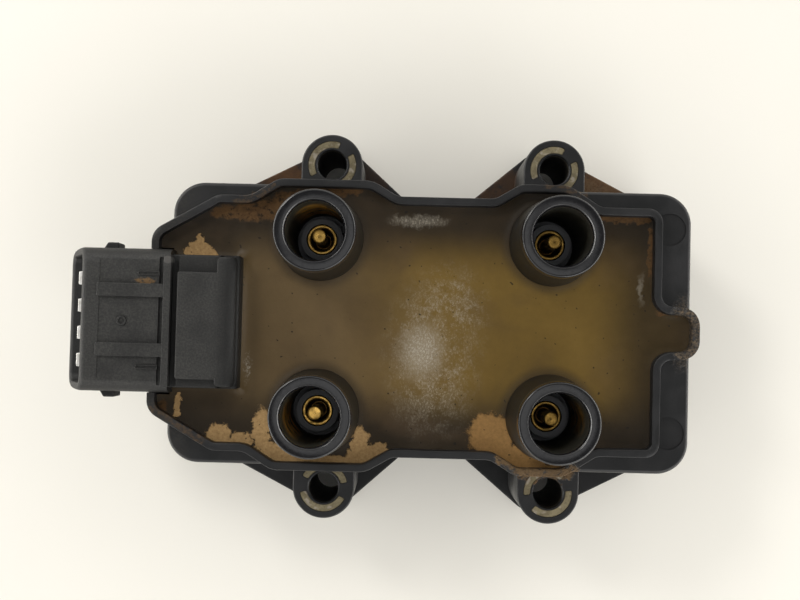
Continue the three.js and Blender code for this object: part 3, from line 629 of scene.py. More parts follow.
def connector_plastic():
    """Dark grey glass-filled plastic with a grainy, dusty skin."""
    g = Material("connector_plastic")
    grain = g.noise(0.22, 3.0, 0.75)
    clouds = g.noise(5.0, 3.0, 0.5, seed=1)
    specks = g.noise(0.35, 3.0, 0.6, seed=2)
    g.color = g.mix(g.ramp(clouds, 0.3, 0.7), (0.012, 0.012, 0.0118), (0.018, 0.018, 0.0175))
    dust = g.both(g.upward(), g.ramp(specks, 0.35, 0.7), g.ramp(clouds, 0.3, 0.65, 0.4, 1.0))
    g.paint(dust, (0.036, 0.035, 0.032))
    # Painted shade below the shroud's top and at the block's far end.
    sunken_shade = g.ramp(g.z, 36.3, 35.7, 0.0, 0.65)
    far_end_shade = g.ramp(g.x, -41.5, -38.5, 0.0, 0.7)
    g.paint(g.either(sunken_shade, far_end_shade), (0.004, 0.004, 0.004))
    # A paler spot at the top end of the bar.
    pale_spot = g.both(g.spot(-49.3, 10.9, 0.8, 0.7, 0.1), 0.6)
    g.paint(pale_spot, (0.09, 0.085, 0.08))
    g.warp(0.8, 0.5)
    tan = g.both(g.spot(-53.4, 7.0, 1.7, 0.55), g.clumps(0.8, 3, 0.36, 0.5, 4.0, 0.7))
    g.paint(tan, (0.14, 0.08, 0.03))
    g.bump((clouds, 0.02), (specks, 0.02), (grain, 0.03))
    return g.finish(g.ramp(grain, 0.3, 0.7, 0.46, 0.62), specular=0.35)


def paint_resin(g, mottle):
    """Ochre in the middle and to the right, nearly black towards the walls, with painted shade round the
    towers.
    """
    deep = g.mix(mottle, (0.011, 0.007, 0.003), (0.022, 0.014, 0.006))
    grey = g.mix(mottle, (0.1, 0.066, 0.028), (0.135, 0.09, 0.04))
    ochre = g.mix(mottle, (0.115, 0.069, 0.012), (0.165, 0.102, 0.021))
    wide = g.both(
        g.ramp(g.math("ABSOLUTE", g.y), 9.0, 19.0, 1.0, 0.04),
        g.ramp(g.x, 26.0, 38.0, 1.0, 0.2),
        g.ramp(g.x, -40.5, -34.5, 0.3, 1.0),
    )
    g.color = g.mix(wide, deep, g.mix(g.ramp(g.x, -22.0, 2.0), grey, ochre))
    swirl = g.ramp(g.noise(15.0, distortion=0.6), 0.45, 0.75, 0.0, 0.45)
    g.paint(swirl, g.mix(mottle, (0.05, 0.03, 0.014), (0.08, 0.05, 0.024)))
    # Painted shade round the foot of each tower.
    g.paint(g.ramp(tower_distance(g), 10.2, 8.0, 0.0, 0.6), (0.022, 0.016, 0.01))


def frost_and_highlight(g):
    """Where the resin's skin is scratched and frosted white, and where a highlight is painted white."""
    scratch = g.ramp(g.noise(0.32, 6.0, 0.85, stretch=(1, 0.6, 1), seed=3), 0.47, 0.6)
    patches = g.ramp(g.noise(2.4, 6.0, 0.75, seed=12), 0.42, 0.56, 0.12, 1.0)
    veil = g.either(g.spot(-1.5, -5.0, 6.8, 11.5, 0.6), g.spot(1.6, 3.2, 5.2, 6.2, 0.7))
    veil = g.both(veil, patches, 0.55, g.ramp(scratch, 0.0, 1.0, 0.2, 1.0))
    centre = g.both(g.spot(-3.4, -4.4, 3.4, 4.4, 0.8), g.ramp(scratch, 0.0, 1.0, 0.45, 1.0))
    rim = g.both(g.spot(-4.6, 19.6, 4.4, 0.9, 0.6), g.ramp(scratch, 0.0, 1.0, 0.2, 0.6))
    # A painted highlight streak near the right wall.
    highlight_streak = g.both(g.spot(36.7, 8.0, 0.4, 2.0, 0.9), 0.35)
    nick = g.both(g.spot(-35.4, -8.0, 0.5, 2.2, 0.7), scratch)
    return g.either(veil, centre, rim, highlight_streak, nick)


def dried_dirt(g):
    """Masks of the pale tan and of the dark brown dirt that lies on the resin."""
    pale = g.marks(
        ((-41.0, -22.0), (-35.0, -22.3), 0.8),
        ((-31.0, -23.0), (-26.0, -25.4), 1.5),
        ((-26.0, -25.2), (-15.0, -25.2), 1.3),
        ((-15.5, -24.6), (-10.6, -23.0), 1.7),
        ((-47.9, -13.8), (-47.9, -16.9), 0.5),
        ((-46.9, 12.9), (-42.4, 12.7), 0.9),
        ((-46.0, 14.2), (-43.8, 14.0), 0.9),
        ((10.5, -22.2), (17.5, -25.6), 2.4),
        ((17.5, -25.6), (24.5, -25.4), 1.0),
        (-40.4, -20.6, 2.3, 1.9),
        (-36.0, -21.4, 1.9, 1.5),
        (-32.3, -19.5, 1.8, 4.0),
        (-14.4, -21.8, 1.5, 3.2),
        (9.6, -19.4, 4.2, 3.9),
        (-44.8, 15.2, 0.7, 0.9),
        soft=0.7,
    )
    brown = g.marks(
        ((-41.5, 20.2), (-36.5, 20.6), 1.3),
        ((-36.5, 20.6), (-30.0, 21.4), 1.9),
        ((-30.0, 23.5), (-16.0, 25.0), 0.9),
        ((38.3, 18.6), (38.3, 10.8), 0.5),
        ((29.0, 20.9), (37.8, 20.9), 0.8),
        ((40.0, 3.8), (43.0, 3.6), 0.5),
        (-50.6, -15.6, 0.9, 0.9),
    )
    return pale, brown


def potting_resin():
    """Brown epoxy: lighter and warmer in the middle, frosted in patches, with a painted highlight and
    dried dirt on it.
    """
    g = Material("potting_resin")
    mottle = g.noise(2.2, 6.0, 0.7, seed=1)
    fine = g.noise(0.35, 3.0, 0.7, seed=2)
    paint_resin(g, mottle)
    g.warp(1.6, 0.75)
    white = frost_and_highlight(g)
    g.paint(white, (0.37, 0.333, 0.268))
    pale, brown = dried_dirt(g)
    light = g.mix(g.ramp(g.x, -10.0, 5.0), (0.52, 0.34, 0.155), (0.34, 0.19, 0.065))
    tan = g.mix(g.noise(0.6, 4.0, 0.7, seed=5), (0.13, 0.07, 0.022), light)
    bark = g.mix(g.noise(0.7, 4.0, 0.7, seed=6), (0.03, 0.016, 0.007), (0.14, 0.072, 0.025))
    g.paint(g.both(brown, g.clumps(1.1, 8, 0.34, 0.5)), bark)
    pale = g.ragged(pale, 1.0, 7)
    g.paint(pale, tan)
    specks = g.ramp(g.noise(0.9, 1.0, 0.4, seed=9), 0.73, 0.77)
    g.paint(g.both(specks, 0.8), (0.008, 0.006, 0.004))
    rough = g.ramp(mottle, 0.3, 0.7, 0.36, 0.48)
    rough = g.mix(g.either(pale, brown, white), rough, (0.8, 0.8, 0.8))
    g.bump((g.noise(16.0, 2.0), 0.3), (mottle, 0.05), (fine, 0.01), (pale, 0.12))
    return g.finish(rough, specular=0.22)


def turned_brass():
    """Brass with fine turning marks, darker and browner towards +X and, less, towards +Y, with painted
    shade on the pin's side and deep in the socket.
    """
    g = Material("turned_brass")
    marks = g.noise(0.2, 3.0, 0.6, stretch=(1, 1, 3))
    tarnish = g.noise(0.9, 4.0, 0.6, seed=1)
    # Darker and browner towards +X and, less, towards +Y.
    ends = g.either(g.ramp(g.x, -6.0, 6.0, 0.0, 0.8), g.ramp(g.y, -5.0, 5.0, 0.0, 0.45))
    dull = g.either(ends, g.ramp(tarnish, 0.45, 0.7, 0.0, 0.5))
    g.color = g.mix(dull, (1.0, 0.62, 0.16), (0.18, 0.105, 0.026))
    radius = tower_distance(g)
    # Painted shade on the pin's side below its end.
    pin_side_shade = g.both(g.ramp(radius, 1.24, 1.28), g.ramp(radius, 1.5, 1.4), g.ramp(g.z, 34.4, 34.1))
    g.paint(pin_side_shade, (0.06, 0.03, 0.008))
    # Painted shade deep in the socket, round the pin.
    inside = g.both(g.ramp(radius, 1.4, 1.5), g.ramp(g.z, 26.6, 25.4))
    g.paint(inside, (0.004, 0.0025, 0.0015))
    g.bump((tarnish, 0.02), (marks, 0.01))
    return g.finish(g.ramp(tarnish, 0.3, 0.7, 0.26, 0.44), metallic=1.0)


def tinned_metal():
    """Bright tin with length-wise drawing marks."""
    g = Material("tinned_metal")
    marks = g.noise(0.12, 3.0, 0.6, stretch=(0.1, 1, 1))
    spots = g.noise(1.2, 4.0, 0.6, seed=1)
    g.color = g.mix(g.ramp(spots, 0.4, 0.7), (0.9, 0.89, 0.86), (0.7, 0.68, 0.63))
    g.bump((marks, 0.01))
    return g.finish(g.ramp(marks, 0.3, 0.7, 0.35, 0.5), metallic=0.6)


def passivated_steel():
    """Zinc plating gone cream and dull, with dirt in its pores and painted shade down its bore."""
    g = Material("passivated_steel")
    pores = g.noise(0.35, 5.0, 0.7)
    clouds = g.noise(1.6, 4.0, 0.6, seed=1)
    g.color = g.mix(g.ramp(clouds, 0.3, 0.7), (0.22, 0.185, 0.105), (0.13, 0.105, 0.055))
    g.paint(g.both(g.ramp(pores, 0.5, 0.68), 0.6), (0.05, 0.038, 0.02))
    pale = g.both(g.ramp(g.noise(1.2, 2.0, 0.5, seed=2), 0.55, 0.68), 0.7)
    g.paint(pale, (0.34, 0.3, 0.25))
    # Painted shade down the sleeve's bore, below its shoulder.
    g.paint(g.ramp(g.z, 22.3, 21.6), (0.02, 0.018, 0.015))
    g.bump((pores, 0.03))
    return g.finish(g.ramp(pores, 0.3, 0.7, 0.5, 0.7), metallic=0.1)


def moulded_bobbin():
    """Natural bobbin plastic."""
    g = Material("moulded_bobbin")
    clouds = g.noise(3.0, 4.0, 0.6)
    grain = g.noise(0.3, 3.0, 0.6, seed=1)
    g.color = g.mix(clouds, (0.42, 0.36, 0.25), (0.56, 0.5, 0.37))
    g.bump((grain, 0.02))
    return g.finish(g.ramp(grain, 0.3, 0.7, 0.45, 0.6))


def insulating_sheet():
    """Fibrous insulating sheet."""
    g = Material("insulating_sheet")
    fibre = g.noise(0.25, 4.0, 0.7, stretch=(0.2, 1, 1))
    g.color = g.mix(fibre, (0.7, 0.64, 0.5), (0.86, 0.81, 0.68))
    g.bump((fibre, 0.02))
    return g.finish(g.ramp(fibre, 0.3, 0.7, 0.6, 0.8))


def banded(name, axis, pitch, crest, trough, metallic, roughness):
    """Even bands along an axis: sheets of a core, or turns of a winding."""
    g = Material(name)
    phase = g.math("MULTIPLY", {"y": g.y, "z": g.z}[axis], 2 * math.pi / pitch)
    bands = g.ramp(g.math("SINE", phase), -0.9, 0.6)
    clouds = g.noise(2.0, 4.0, 0.6)
    g.color = g.mix(bands, trough, g.mix(clouds, crest, tuple(c * 0.7 for c in crest)))
    g.bump((bands, 0.06), (clouds, 0.02))
    low, high = roughness
    return g.finish(g.ramp(clouds, 0.3, 0.7, low, high), metallic=metallic)


CASE_PLASTIC = case_plastic()
TOWER_PLASTIC = tower_plastic()
CONNECTOR_PLASTIC = connector_plastic()
RESIN = potting_resin()
BRASS = turned_brass()
TIN = tinned_metal()
ZINC = passivated_steel()
BOBBIN = moulded_bobbin()
SHIM = insulating_sheet()
LAMINATION = banded("laminations", "z", 0.5, (0.3, 0.31, 0.33), (0.07, 0.07, 0.075), 1.0, (0.35, 0.5))
COPPER = banded("enamelled_copper", "y", 0.32, (0.62, 0.25, 0.09), (0.16, 0.05, 0.02), 0.9, (0.25, 0.4))


# ---- the case ------------------------------------------------------------------------------
def end_block(piece, join_x, outer_x):
    """A wide end of the case."""
    half, corner = CASE.half, CASE.corner
    corners = [(join_x, half, 0), (outer_x, half, corner), (outer_x, -half, corner), (join_x, -half, 0)]
    if outer_x > join_x:
        corners.reverse()
    piece.prism(densified(filleted(corners, 6), 3.0), 0, CASE.shelf, 0.7, 0.25)


def flange_plate(piece, side):
    """The plate that spreads a pair of lugs along a long side of the case."""
    out_x = LUG.x + LUG.foot * math.sin(FLANGE_LEAN)
    out_y = LUG.y + LUG.foot * math.cos(FLANGE_LEAN)
    in_x, in_y = LUG.x - LUG.foot * 0.6, LUG.y + LUG.foot * 0.8
    slope = math.tan(FLANGE_LEAN)
    left, right = CASE.left + HAIR, CASE.right - HAIR
    waist = CUP_HALF[5][1]
    crisp = 0.5
    corners = [
        (left, 10, 0),
        (right, 10, 0),
        (right, out_y - (right - out_x) * slope, CASE.corner),
        (out_x, out_y, crisp),
        (in_x, in_y, crisp),
        (3, waist, 3),
        (-4, waist, 3),
        (-in_x, in_y, crisp),
        (-out_x, out_y, crisp),
        (left, out_y - (-left - out_x) * slope, CASE.corner),
    ]
    if side < 0:
        corners = mirrored_y(corners)
    outline = densified(filleted(corners, 7), 3.0)
    piece.prism(outline, HAIR, LUG.plate, round_top=0.4, round_bottom=0.2)


def lug_boss(piece, sx, sy):
    """A boss that is round outside and runs straight-sided into the case, over its foot."""
    x, y, r = sx * LUG.x, sy * LUG.y, LUG.radius
    root, tip = 19.0, LUG.y + r
    corners = rectangle(x - r, x + r, root, tip, 0, 0, r * 0.999, r * 0.999)
    if sy < 0:
        corners = mirrored_y(corners)
    piece.prism(filleted(corners, 4), 2 * HAIR, LUG.top, 0.35)
    piece.prism(circle(x, y, LUG.foot), 3 * HAIR, LUG.plate - HAIR, 0.4)


def cup_wall(piece):
    """The thin wall that runs right round the potting cup."""
    rings = []
    for p, n in zip(CUP_OUTLINE, inward_normals(CUP_OUTLINE)):
        rim = CUP.rim - 0.06 + 0.05 * noise.noise(Vector((p.x, p.y, 0)) * 0.35)
        wall = CUP.wall + 0.07 * noise.noise(Vector((p.x, p.y, 9)) * 0.25)
        foot = CUP.foot
        profile = [(0.0, foot), (0.0, rim - 0.2), (0.05, rim - 0.07), (0.18, rim)]
        profile += [(wall - 0.35, rim), (wall - 0.12, rim - 0.12), (wall, rim - 0.4), (wall, foot)]
        rings.append([(p.x + n.x * d, p.y + n.y * d, z) for d, z in profile])
    piece.loft(rings, ring_closed=True)


def sleeve_windows(sx, sy, bridge, clearance):
    """Outlines of the two arcs of a sleeve's end that show through the top of its lug."""
    outlines = []
    for turn in (0, 180):
        start = math.radians(bridge + turn + BRIDGE_HALF_ANGLE) - clearance / SLEEVE.radius
        end = math.radians(bridge + turn + 180 - BRIDGE_HALF_ANGLE) + clearance / SLEEVE.radius
        inner, outer = SLEEVE.inner - clearance, SLEEVE.radius + clearance
        outlines.append(arc_band(sx * LUG.x, sy * LUG.y, inner, outer, start, end, 0.3))
    return outlines


def case_hollows():
    """Everything that is cut out of the case."""
    piece = Piece("case_hollows")
    inner = inset(CUP_OUTLINE, CUP.wall + 0.2)
    above = CUP.rim + 5
    main = clipped(inner, CASE.left + CASE.wall, CUP_END - CASE.wall)
    piece.prism(main, CASE_FLOOR, above)
    piece.prism(clipped(inner, high=OVERHANG_END), CUP.overhang + CUP_FLOOR, above)
    piece.prism(clipped(inner, low=SPOUT_START), CUP.spout + CUP_FLOOR, above)
    half, floor = SHROUD.half + NOTCH.play, SHROUD.bottom - NOTCH.play
    piece.box(NOTCH.left, NOTCH.right, -half, half, floor, above, 0, 0.01)
    for x, y in EJECTOR_MARKS:
        disc = clipped(circle(x, y, EJECTOR.radius), low=CUP_END + HAIR)
        piece.prism(disc, CASE.shelf - EJECTOR.depth, CASE.shelf + 5)
    for side in (-1, 1):
        half_x, half_y = POCKET.half_x, POCKET.half_y
        x, y = POCKET.x, side * POCKET.y
        piece.box(x - half_x, x + half_x, y - half_y, y + half_y, -2, CUP.core_top, 0, 0.5)
    top = LUG.top + 2
    bolt = [(0, -2), (BOLT_RADIUS, -2), (BOLT_RADIUS, BOLT_MOUTH.low)]
    bolt += [(BOLT_MOUTH.radius, BOLT_MOUTH.high), (BOLT_MOUTH.radius, top), (0, top)]
    for sx, sy, bridge in LUGS.values():
        x, y = sx * LUG.x, sy * LUG.y
        piece.prism(circle(x, y, SLEEVE.radius + 0.08), -1, SLEEVE.shoulder + 0.06)
        piece.turned(x, y, bolt)
        for outline in sleeve_windows(sx, sy, bridge, 0.04):
            piece.prism(outline, SLEEVE.shoulder - 0.3, top)
    return piece


def make_case():
    piece = Piece("case")
    end_block(piece, LEFT_BLOCK_END, CASE.left)
    end_block(piece, RIGHT_BLOCK_END, CASE.right)
    body = inset(CUP_OUTLINE, HAIR)
    piece.prism(clipped(body, CASE.left + HAIR, CASE.right - HAIR), 4 * HAIR, CUP.core_top)
    piece.prism(clipped(body, high=OVERHANG_END), CUP.overhang, CUP.core_top - 2, 0, 0.3)
    piece.prism(clipped(body, low=SPOUT_START), CUP.spout, CUP.core_top - HAIR, 0, 0.3)
    cup_wall(piece)
    for side in (-1, 1):
        flange_plate(piece, side)
    for sx, sy, _ in LUGS.values():
        lug_boss(piece, sx, sy)
    piece.build(CASE_PLASTIC, "housing", cutter=case_hollows())


def make_sleeve(name, sx, sy, bridge):
    """A bolt sleeve: its tube, and the two arcs of its end that show in the lug's windows."""
    piece = Piece(f"sleeve_{name}")
    outer, top = SLEEVE.radius, SLEEVE.shoulder
    tube = [(BOLT_RADIUS, 0.0), (outer, 0.0), (outer, top), (BOLT_RADIUS, top)]
    piece.turned(sx * LUG.x, sy * LUG.y, tube)
    for outline in sleeve_windows(sx, sy, bridge, 0.0):
        piece.prism(outline, top - 0.2, SLEEVE.top, 0.1)
    piece.build(ZINC, f"mount_sleeve_{name}")


# ---- the towers ----------------------------------------------------------------------------
def rounded_profile(corners, steps=4):
    """An open profile of (radius, z), rounded at each (radius, z, rounding) corner inside it."""
    points = [Vector(corner[:2]) for corner in corners]
    out = [tuple(points[0])]
    for i in range(1, len(points) - 1):
        here = points[i]
        back = points[i - 1] - here
        ahead = points[i + 1] - here
        reach = min(corners[i][2], back.length * 0.45, ahead.length * 0.45)
        start = here + back.normalized() * reach
        end = here + ahead.normalized() * reach
        for k in range(steps + 1):
            t = k / steps
            p = start.lerp(here, t).lerp(here.lerp(end, t), t)
            out.append((p.x, p.y))
    out.append(tuple(points[-1]))
    return out


def make_tower(tower, x, y):
    """A tower with its bore, the collar that stands in the bore, and the foot in the resin."""
    rim = TOWER.rim
    outside = [(6.2, 26.0, 0.2), (TOWER.foot, 28.0, 0.3), (7.1, rim, 0.42)]
    lip = [(5.5, rim, 0.1), (5.18, rim - 0.36, 0.12)]
    bore = [(5.02, 21.9, 0.2), (3.97, 21.9, 0.2), (3.97, 27.0, 0.1)]
    collar = [(2.9, 27.0, 0.05), (2.9, 20.5, 0.2), (6.2, 20.5, 0.2), (6.2, 26.0, 0.2)]
    profile = rounded_profile([*outside, *lip, *bore, *collar])
    piece = Piece(f"tower_{tower}")
    piece.turned(x, y, profile[:-1], 128)
    piece.build(TOWER_PLASTIC, f"ht_tower_{tower}")


def make_socket(tower, x, y):
    """The brass cup in the collar, with its rolled edge and the stem under it."""
    profile = [(0, 22.6), (1.95, 22.6), (1.95, 26.75), (2.02, 26.93), (2.2, 27.05), (2.45, 27.12)]
    profile += [(2.68, 27.08), (2.8, 26.9), (2.8, 22.0), (1.2, 21.9), (1.2, 18.2), (0, 18.2)]
    piece = Piece(f"brass_socket_{tower}")
    piece.turned(x, y, profile)
    piece.build(BRASS, f"ht_socket_{tower}")


def make_pin(tower, x, y):
    """The centre pin, with turning rings and a small pip on its flat end."""
    profile = [(0, 22.7), (1.29, 22.7), (1.29, 34.3), (1.22, 34.48), (1.05, 34.55)]
    profile += [(0.8, 34.53), (0.5, 34.55), (0.22, 34.53), (0.14, 34.64), (0, 34.66)]
    piece = Piece(f"centre_pin_{tower}")
    piece.turned(x, y, profile, 64)
    piece.build(BRASS, f"ht_pin_{tower}")


# ---- the potting ---------------------------------------------------------------------------
def climb(height, distance):
    """How much higher the resin stands at a distance from what it climbs."""
    return height * math.exp(-max(distance, 0) / MENISCUS)


def resin_height(x, y, wall_gap):
    """Height of the resin: flat in the middle, climbing at the wall, the towers and the block."""
    z = POTTING.top - 0.35
    z += 0.22 * noise.noise(Vector((x * 0.06, y * 0.06, 1.7)))
    z += 0.05 * noise.noise(Vector((x * 0.25, y * 0.25, 4.2)))
    z += climb(0.4, wall_gap)
    for tx, ty in TOWERS.values():
        z += climb(0.35, math.hypot(x - tx, y - ty) - TOWER.foot)
    at_face = x > ROOT.right - 1
    return z + climb(1.0 if at_face else 0.3, max(x - ROOT.right, abs(y) - ROOT.half))


def resin_grid():
    """Heights of the resin by grid column and row, out to a ragged rim inside the wall."""
    step = POTTING.grid
    columns = range(math.ceil(CUP_HALF[0][0] / step), math.floor(CUP_HALF[-1][0] / step) + 1)
    rows = math.floor(max(y for _, y, _ in CUP_HALF) / step)
    heights = {}
    for i in columns:
        for j in range(-rows, rows + 1):
            x, y = i * step, j * step
            gap, inside = distance_to(CUP_INNER, x, y)
            gap = gap if inside else -gap
            in_tower = any(math.hypot(x - tx, y - ty) < POTTING.tower_hole for tx, ty in TOWERS.values())
            in_socket = x < BAR.left + 0.5 and abs(y) < SHROUD.half + 0.4
            if gap > -POTTING.into_wall and not in_tower and not in_socket:
                heights[i, j] = resin_height(x, y, gap)
    return heights


def make_potting():
    """A fine grid over the cup, with a floor. Its rim is buried in the wall and in the towers."""
    heights = resin_grid()
    cells = []
    for i, j in heights:
        cell = [(i, j), (i + 1, j), (i + 1, j + 1), (i, j + 1)]
        if all(corner in heights for corner in cell):
            cells.append(cell)
    used = sorted({corner for cell in cells for corner in cell})
    index = {corner: k for k, corner in enumerate(used)}
    step, floor = POTTING.grid, POTTING.top - POTTING.deep
    piece = Piece("potting_resin")
    piece.verts = [Vector((i * step, j * step, heights[i, j])) for i, j in used]
    piece.verts += [Vector((i * step, j * step, floor)) for i, j in used]
    edges = set()
    for cell in cells:
        loop = [index[corner] for corner in cell]
        piece.faces.append(tuple(loop))
        piece.faces.append(tuple(v + len(used) for v in reversed(loop)))
        edges.update(zip(loop, loop[1:] + loop[:1]))
    for a, b in sorted(edges):
        if (b, a) not in edges:
            piece.faces.append((b, a, a + len(used), b + len(used)))
    piece.build(RESIN, "potting")


# ---- the connector -------------------------------------------------------------------------
def lip_x(y, z):
    """Where the shroud's mouth lies: slanted from top to bottom, and rounded in plan."""
    share = (SHROUD.top - z) / (SHROUD.top - SHROUD.bottom)
    slanted = MOUTH.upper + (MOUTH.lower - MOUTH.upper) * share
    r = MOUTH.corner
    aside = min(r, max(0.0, abs(y) - (SHROUD.half - r)))
    rounded = MOUTH.lower + r - math.sqrt(r * r - aside * aside)
    return max(slanted, rounded)


def shroud_shell(piece):
    """The open box round the blades, with its rounded lip."""
    half, low, high, r = SHROUD.half, SHROUD.bottom, SHROUD.top, SHROUD.corner
    outline = densified(filleted(rectangle(-half, half, low, high, r), 7), 1.5)
    rings = [[(BAR.right - 0.4, p.x, p.y) for p in outline]]
    lip = ((0.0, 0.7), (0.06, 0.3), (0.22, 0.08), (0.45, 0.0), (1.1, 0.0), (1.32, 0.1), (1.5, 0.5))
    for offset, depth in lip:
        rings.append([(lip_x(p.x, p.y) + depth, p.x, p.y) for p in inset(outline, offset)])
    rings.append([(SOCKET_FLOOR, p.x, p.y) for p in inset(outline, SHROUD.wall)])
    piece.loft(rings)


def side_ramp(piece, side):
    """A clip ramp on a short side of the shroud."""
    out = side * (SHROUD.half + RAMP.out)
    root = side * (SHROUD.half - 1.0)
    left, right = RAMP.left, RAMP.right
    corners = [(left, root, 0.0), (left + RAMP.slope, out, 0.4), (right, out, 0.3), (right, root, 0.0)]
    if side > 0:
        corners.reverse()
    piece.prism(densified(filleted(corners, 15), 0.6), RAMP.low, RAMP.high, 0.3, 0.3)


def clip_ridge(piece, side):
    """The long narrow ring on the shroud's top that guides the plug's latch."""
    left, right, half = RIDGE.left, RIDGE.right, RIDGE.half
    y = side * RIDGE.y
    tight = half * 0.98
    corners = rectangle(left, right, y - half, y + half, tight, 0.1, 0.1, tight)
    levels = [(0.0, -0.3), (0.04, 0.1), (0.12, 0.2), (0.22, 0.12), (0.3, -0.25)]
    levels = [(offset, SHROUD.top + rise) for offset, rise in levels]
    piece.layered(densified(filleted(corners, 15), 0.5), levels)


def sideways_block(piece, profile, low, high, edge):
    """A closed XZ profile run along Y, with its two ends rounded."""
    near = [(edge, low), (edge * 0.3, low + edge * 0.3), (0, low + edge)]
    far = [(inward, low + high - y) for inward, y in reversed(near)]
    piece.loft([[(p.x, y, p.y) for p in inset(profile, inward)] for inward, y in near + far])


def block_profile(left, right, bottom, top, left_round, right_round):
    """An XZ profile with a rounding of its own at each top corner."""
    corners = rectangle(left, right, bottom, top, 0.3, 0.3, right_round, left_round)
    return densified(filleted(corners, 10), 3.0)


def shroud_recesses():
    """The sunk panels on the shroud's top, and the deep gaps where they meet the bar."""
    top = SHROUD.top
    outer, inner = RIB.y + RIB.half, RIB.y - RIB.half
    left, right = RIB.left + 0.3, GAP.left + 0.4
    piece = Piece("recesses")
    for low, high in ((RECESS.low, -outer), (-inner, inner), (outer, RECESS.high)):
        piece.box(left, right, low, high, top - RECESS.depth, top + 2, 0, 0.35)
        piece.box(GAP.left, GAP.right, low, high, top - GAP.depth, top + 3, 0, 0.12)
    return piece


def connector_block(piece):
    """The solid block behind the socket, in four parts that overlap."""
    half, bottom, top = ROOT.half, SHROUD.bottom, SHROUD.top
    foot = block_profile(BAR.left + 0.3, ROOT.right, bottom, top - 1.6, 0.3, 0.3)
    sideways_block(piece, foot, -half, half, 0.3)
    body = block_profile(GROOVE_END, ROOT.right - HAIR, bottom + 1, ROOT.top, 0.2, 1.0)
    sideways_block(piece, body, -half + HAIR, half - HAIR, 0.4)
    pad = block_profile(GROOVE_END + 0.05, PAD.right + 1, top - 3, PAD.top - 0.01, 0.35, 0.2)
    sideways_block(piece, pad, PAD.low, PAD.high, 0.4)
    wide = block_profile(PAD.right, PAD.wide_right, bottom + 2, PAD.top, 0.2, 2.0)
    sideways_block(piece, wide, -half + 0.15, half - 0.15, 0.9)


def make_connector():
    """The connector's shell, and its block with the ribs, ramps and bar, as two objects."""
    shell = Piece("connector_shell")
    shroud_shell(shell)
    shell.build(CONNECTOR_PLASTIC, "connector_body", cutter=shroud_recesses())

    top = SHROUD.top
    block = Piece("connector_block")
    for side in (-1, 1):
        low, high = side * RIB.y - RIB.half, side * RIB.y + RIB.half
        block.box(RIB.left, BAR.left + 0.3, low, high, top - 1, PAD.top - 0.1, 0.14, 0.2)
        clip_ridge(block, side)
        side_ramp(block, side)
    dot = [(0, -0.6), (1.0, -0.6), (0.95, -0.02), (0.8, 0.24), (0.6, 0.22), (0.42, -0.08), (0, -0.1)]
    block.turned(DOT.x, DOT.y, [(radius, top + rise) for radius, rise in dot], 32)
    block.box(BAR.left, BAR.right, -BAR.half, BAR.half, top - 8, PAD.top, 0.14, 0.2)
    connector_block(block)
    block.build(CONNECTOR_PLASTIC, "connector_body")


def make_blade(blade):
    """A flat blade with a tapered tip, and the tail that turns down into the resin."""
    y = (2.5 - blade) * BLADE.pitch
    half, nose = BLADE.width / 2, BLADE.nose_width / 2
    tip, z = BLADE.tip, BLADE_Z
    shoulder = tip + BLADE.nose
    end = BLADE_BEND.x + 0.4
    outline = [(tip, -nose, 0.12), (shoulder, -half, 0.6), (end, -half, 0.1)]
    outline += [(end, half, 0.1), (shoulder, half, 0.6), (tip, nose, 0.12)]
    points = [Vector((p.x, p.y + y)) for p in densified(filleted(outline, 20), 2.0)]
    piece = Piece(f"blade_{blade}")
    piece.prism(points, z - BLADE.thick / 2, z + BLADE.thick / 2, 0.14, 0.14, 3)
    tail = BLADE_BEND.width / 2
    piece.box(end - 0.8, end - HAIR, y - tail, y + tail, BLADE_BEND.tail, z, 0.1, 0.15)
    piece.build(TIN, f"connector_blade_{blade}")


# ---- the inner pieces keep their CAD shapes ------------------------------------------------
INNER_LOOKS = {
    "core_": LAMINATION,
    "gap_shim_": SHIM,
    "primary_bobbin_": BOBBIN,
    "secondary_bobbin_": BOBBIN,
    "primary_winding_": COPPER,
    "secondary_winding_": COPPER,
    "primary_lead_": COPPER,
    "ht_strap_": BRASS,
}


def dress_inner_pieces():
    """Gives the pieces inside the potting their materials."""
    for name, obj in frame["nodes"].items():
        for prefix, material in INNER_LOOKS.items():
            if name.startswith(prefix):
                obj.data.materials.clear()
                obj.data.materials.append(material)


make_case()
make_potting()
for lug_name, lug in LUGS.items():
    make_sleeve(lug_name, *lug)
for number, centre in TOWERS.items():
    make_tower(number, *centre)
    make_socket(number, *centre)
    make_pin(number, *centre)
make_connector()
for number in range(1, 5):
    make_blade(number)
dress_inner_pieces()


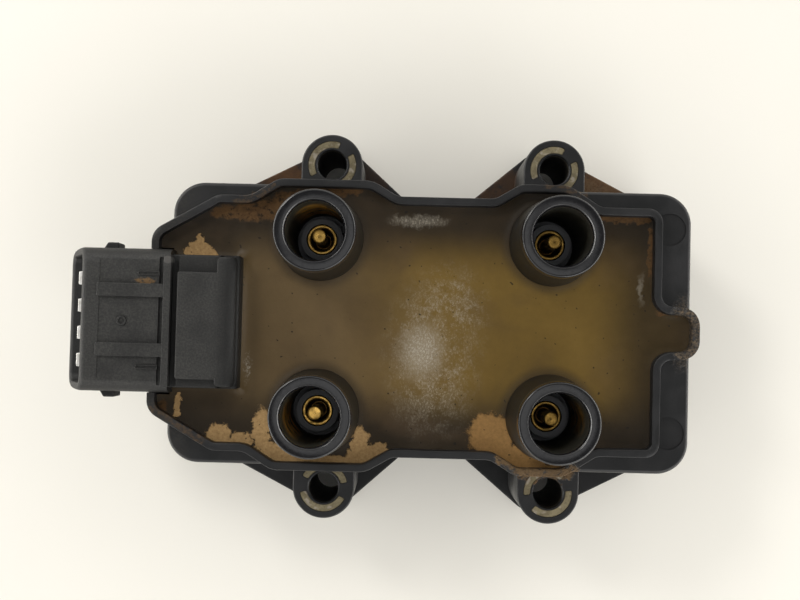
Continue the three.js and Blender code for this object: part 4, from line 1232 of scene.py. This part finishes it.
# ---- the studio ----------------------------------------------------------------------------
def pale_floor():
    """Pale matt board under the pack."""
    g = Material("pale_floor")
    mottle = g.noise(60.0)
    g.color = g.mix(mottle, (0.86, 0.835, 0.77), (0.89, 0.865, 0.8))
    g.bump((g.noise(0.6, 3.0, 0.6, seed=2), 0.01))
    half = FLOOR.half
    mesh = bpy.data.meshes.new("floor")
    corners = [(-half, -half, 0), (half, -half, 0), (half, half, 0), (-half, half, 0)]
    mesh.from_pydata(corners, [], [(0, 1, 2, 3)])
    mesh.materials.append(g.finish(g.ramp(mottle, 0.3, 0.7, 0.5, 0.6)))
    floor = placed("floor", mesh)
    floor.location.z = -FLOOR.drop


def area_light(name, place, size, power, tint):
    """A soft square light aimed at the pack."""
    data = bpy.data.lights.new(name, "AREA")
    data.shape = "SQUARE"
    data.size = size
    data.energy = power
    data.color = tint
    lamp = placed(name, data)
    lamp.location = place
    lamp.rotation_euler = (LIT_POINT - Vector(place)).to_track_quat("-Z", "Y").to_euler()


def soft_room():
    """A room that is bright round the horizon, brightest to both sides, and dim overhead."""
    world = bpy.data.worlds.new("soft_room")
    g = Graph(world, "Generated", 1.0)
    room = g.ramp(g.z, *ROOM.fall, ROOM.horizon, ROOM.overhead)
    level = g.ramp(g.math("ABSOLUTE", g.z), *WINDOWS.rise)
    aside = g.ramp(g.math("ABSOLUTE", g.x), *WINDOWS.aside, 0.0, WINDOWS.strength)
    background = g.nodes["Background"].inputs
    g.feed(background["Color"], WARM)
    g.feed(background["Strength"], g.math("ADD", g.both(level, aside), room))
    bpy.context.scene.world = world


def camera():
    data = bpy.data.cameras.new("camera")
    data.sensor_width = 36.0
    data.lens = CAMERA.lens
    data.clip_start = 0.01
    data.clip_end = 10.0
    obj = placed("camera", data)
    obj.location = CAMERA.place
    obj.rotation_euler = [math.radians(angle) for angle in CAMERA.turn]
    bpy.context.scene.camera = obj


pale_floor()
for light_name, light in LIGHTS.items():
    area_light(light_name, *light)
soft_room()
camera()
bpy.context.scene.view_settings.view_transform = "Standard"
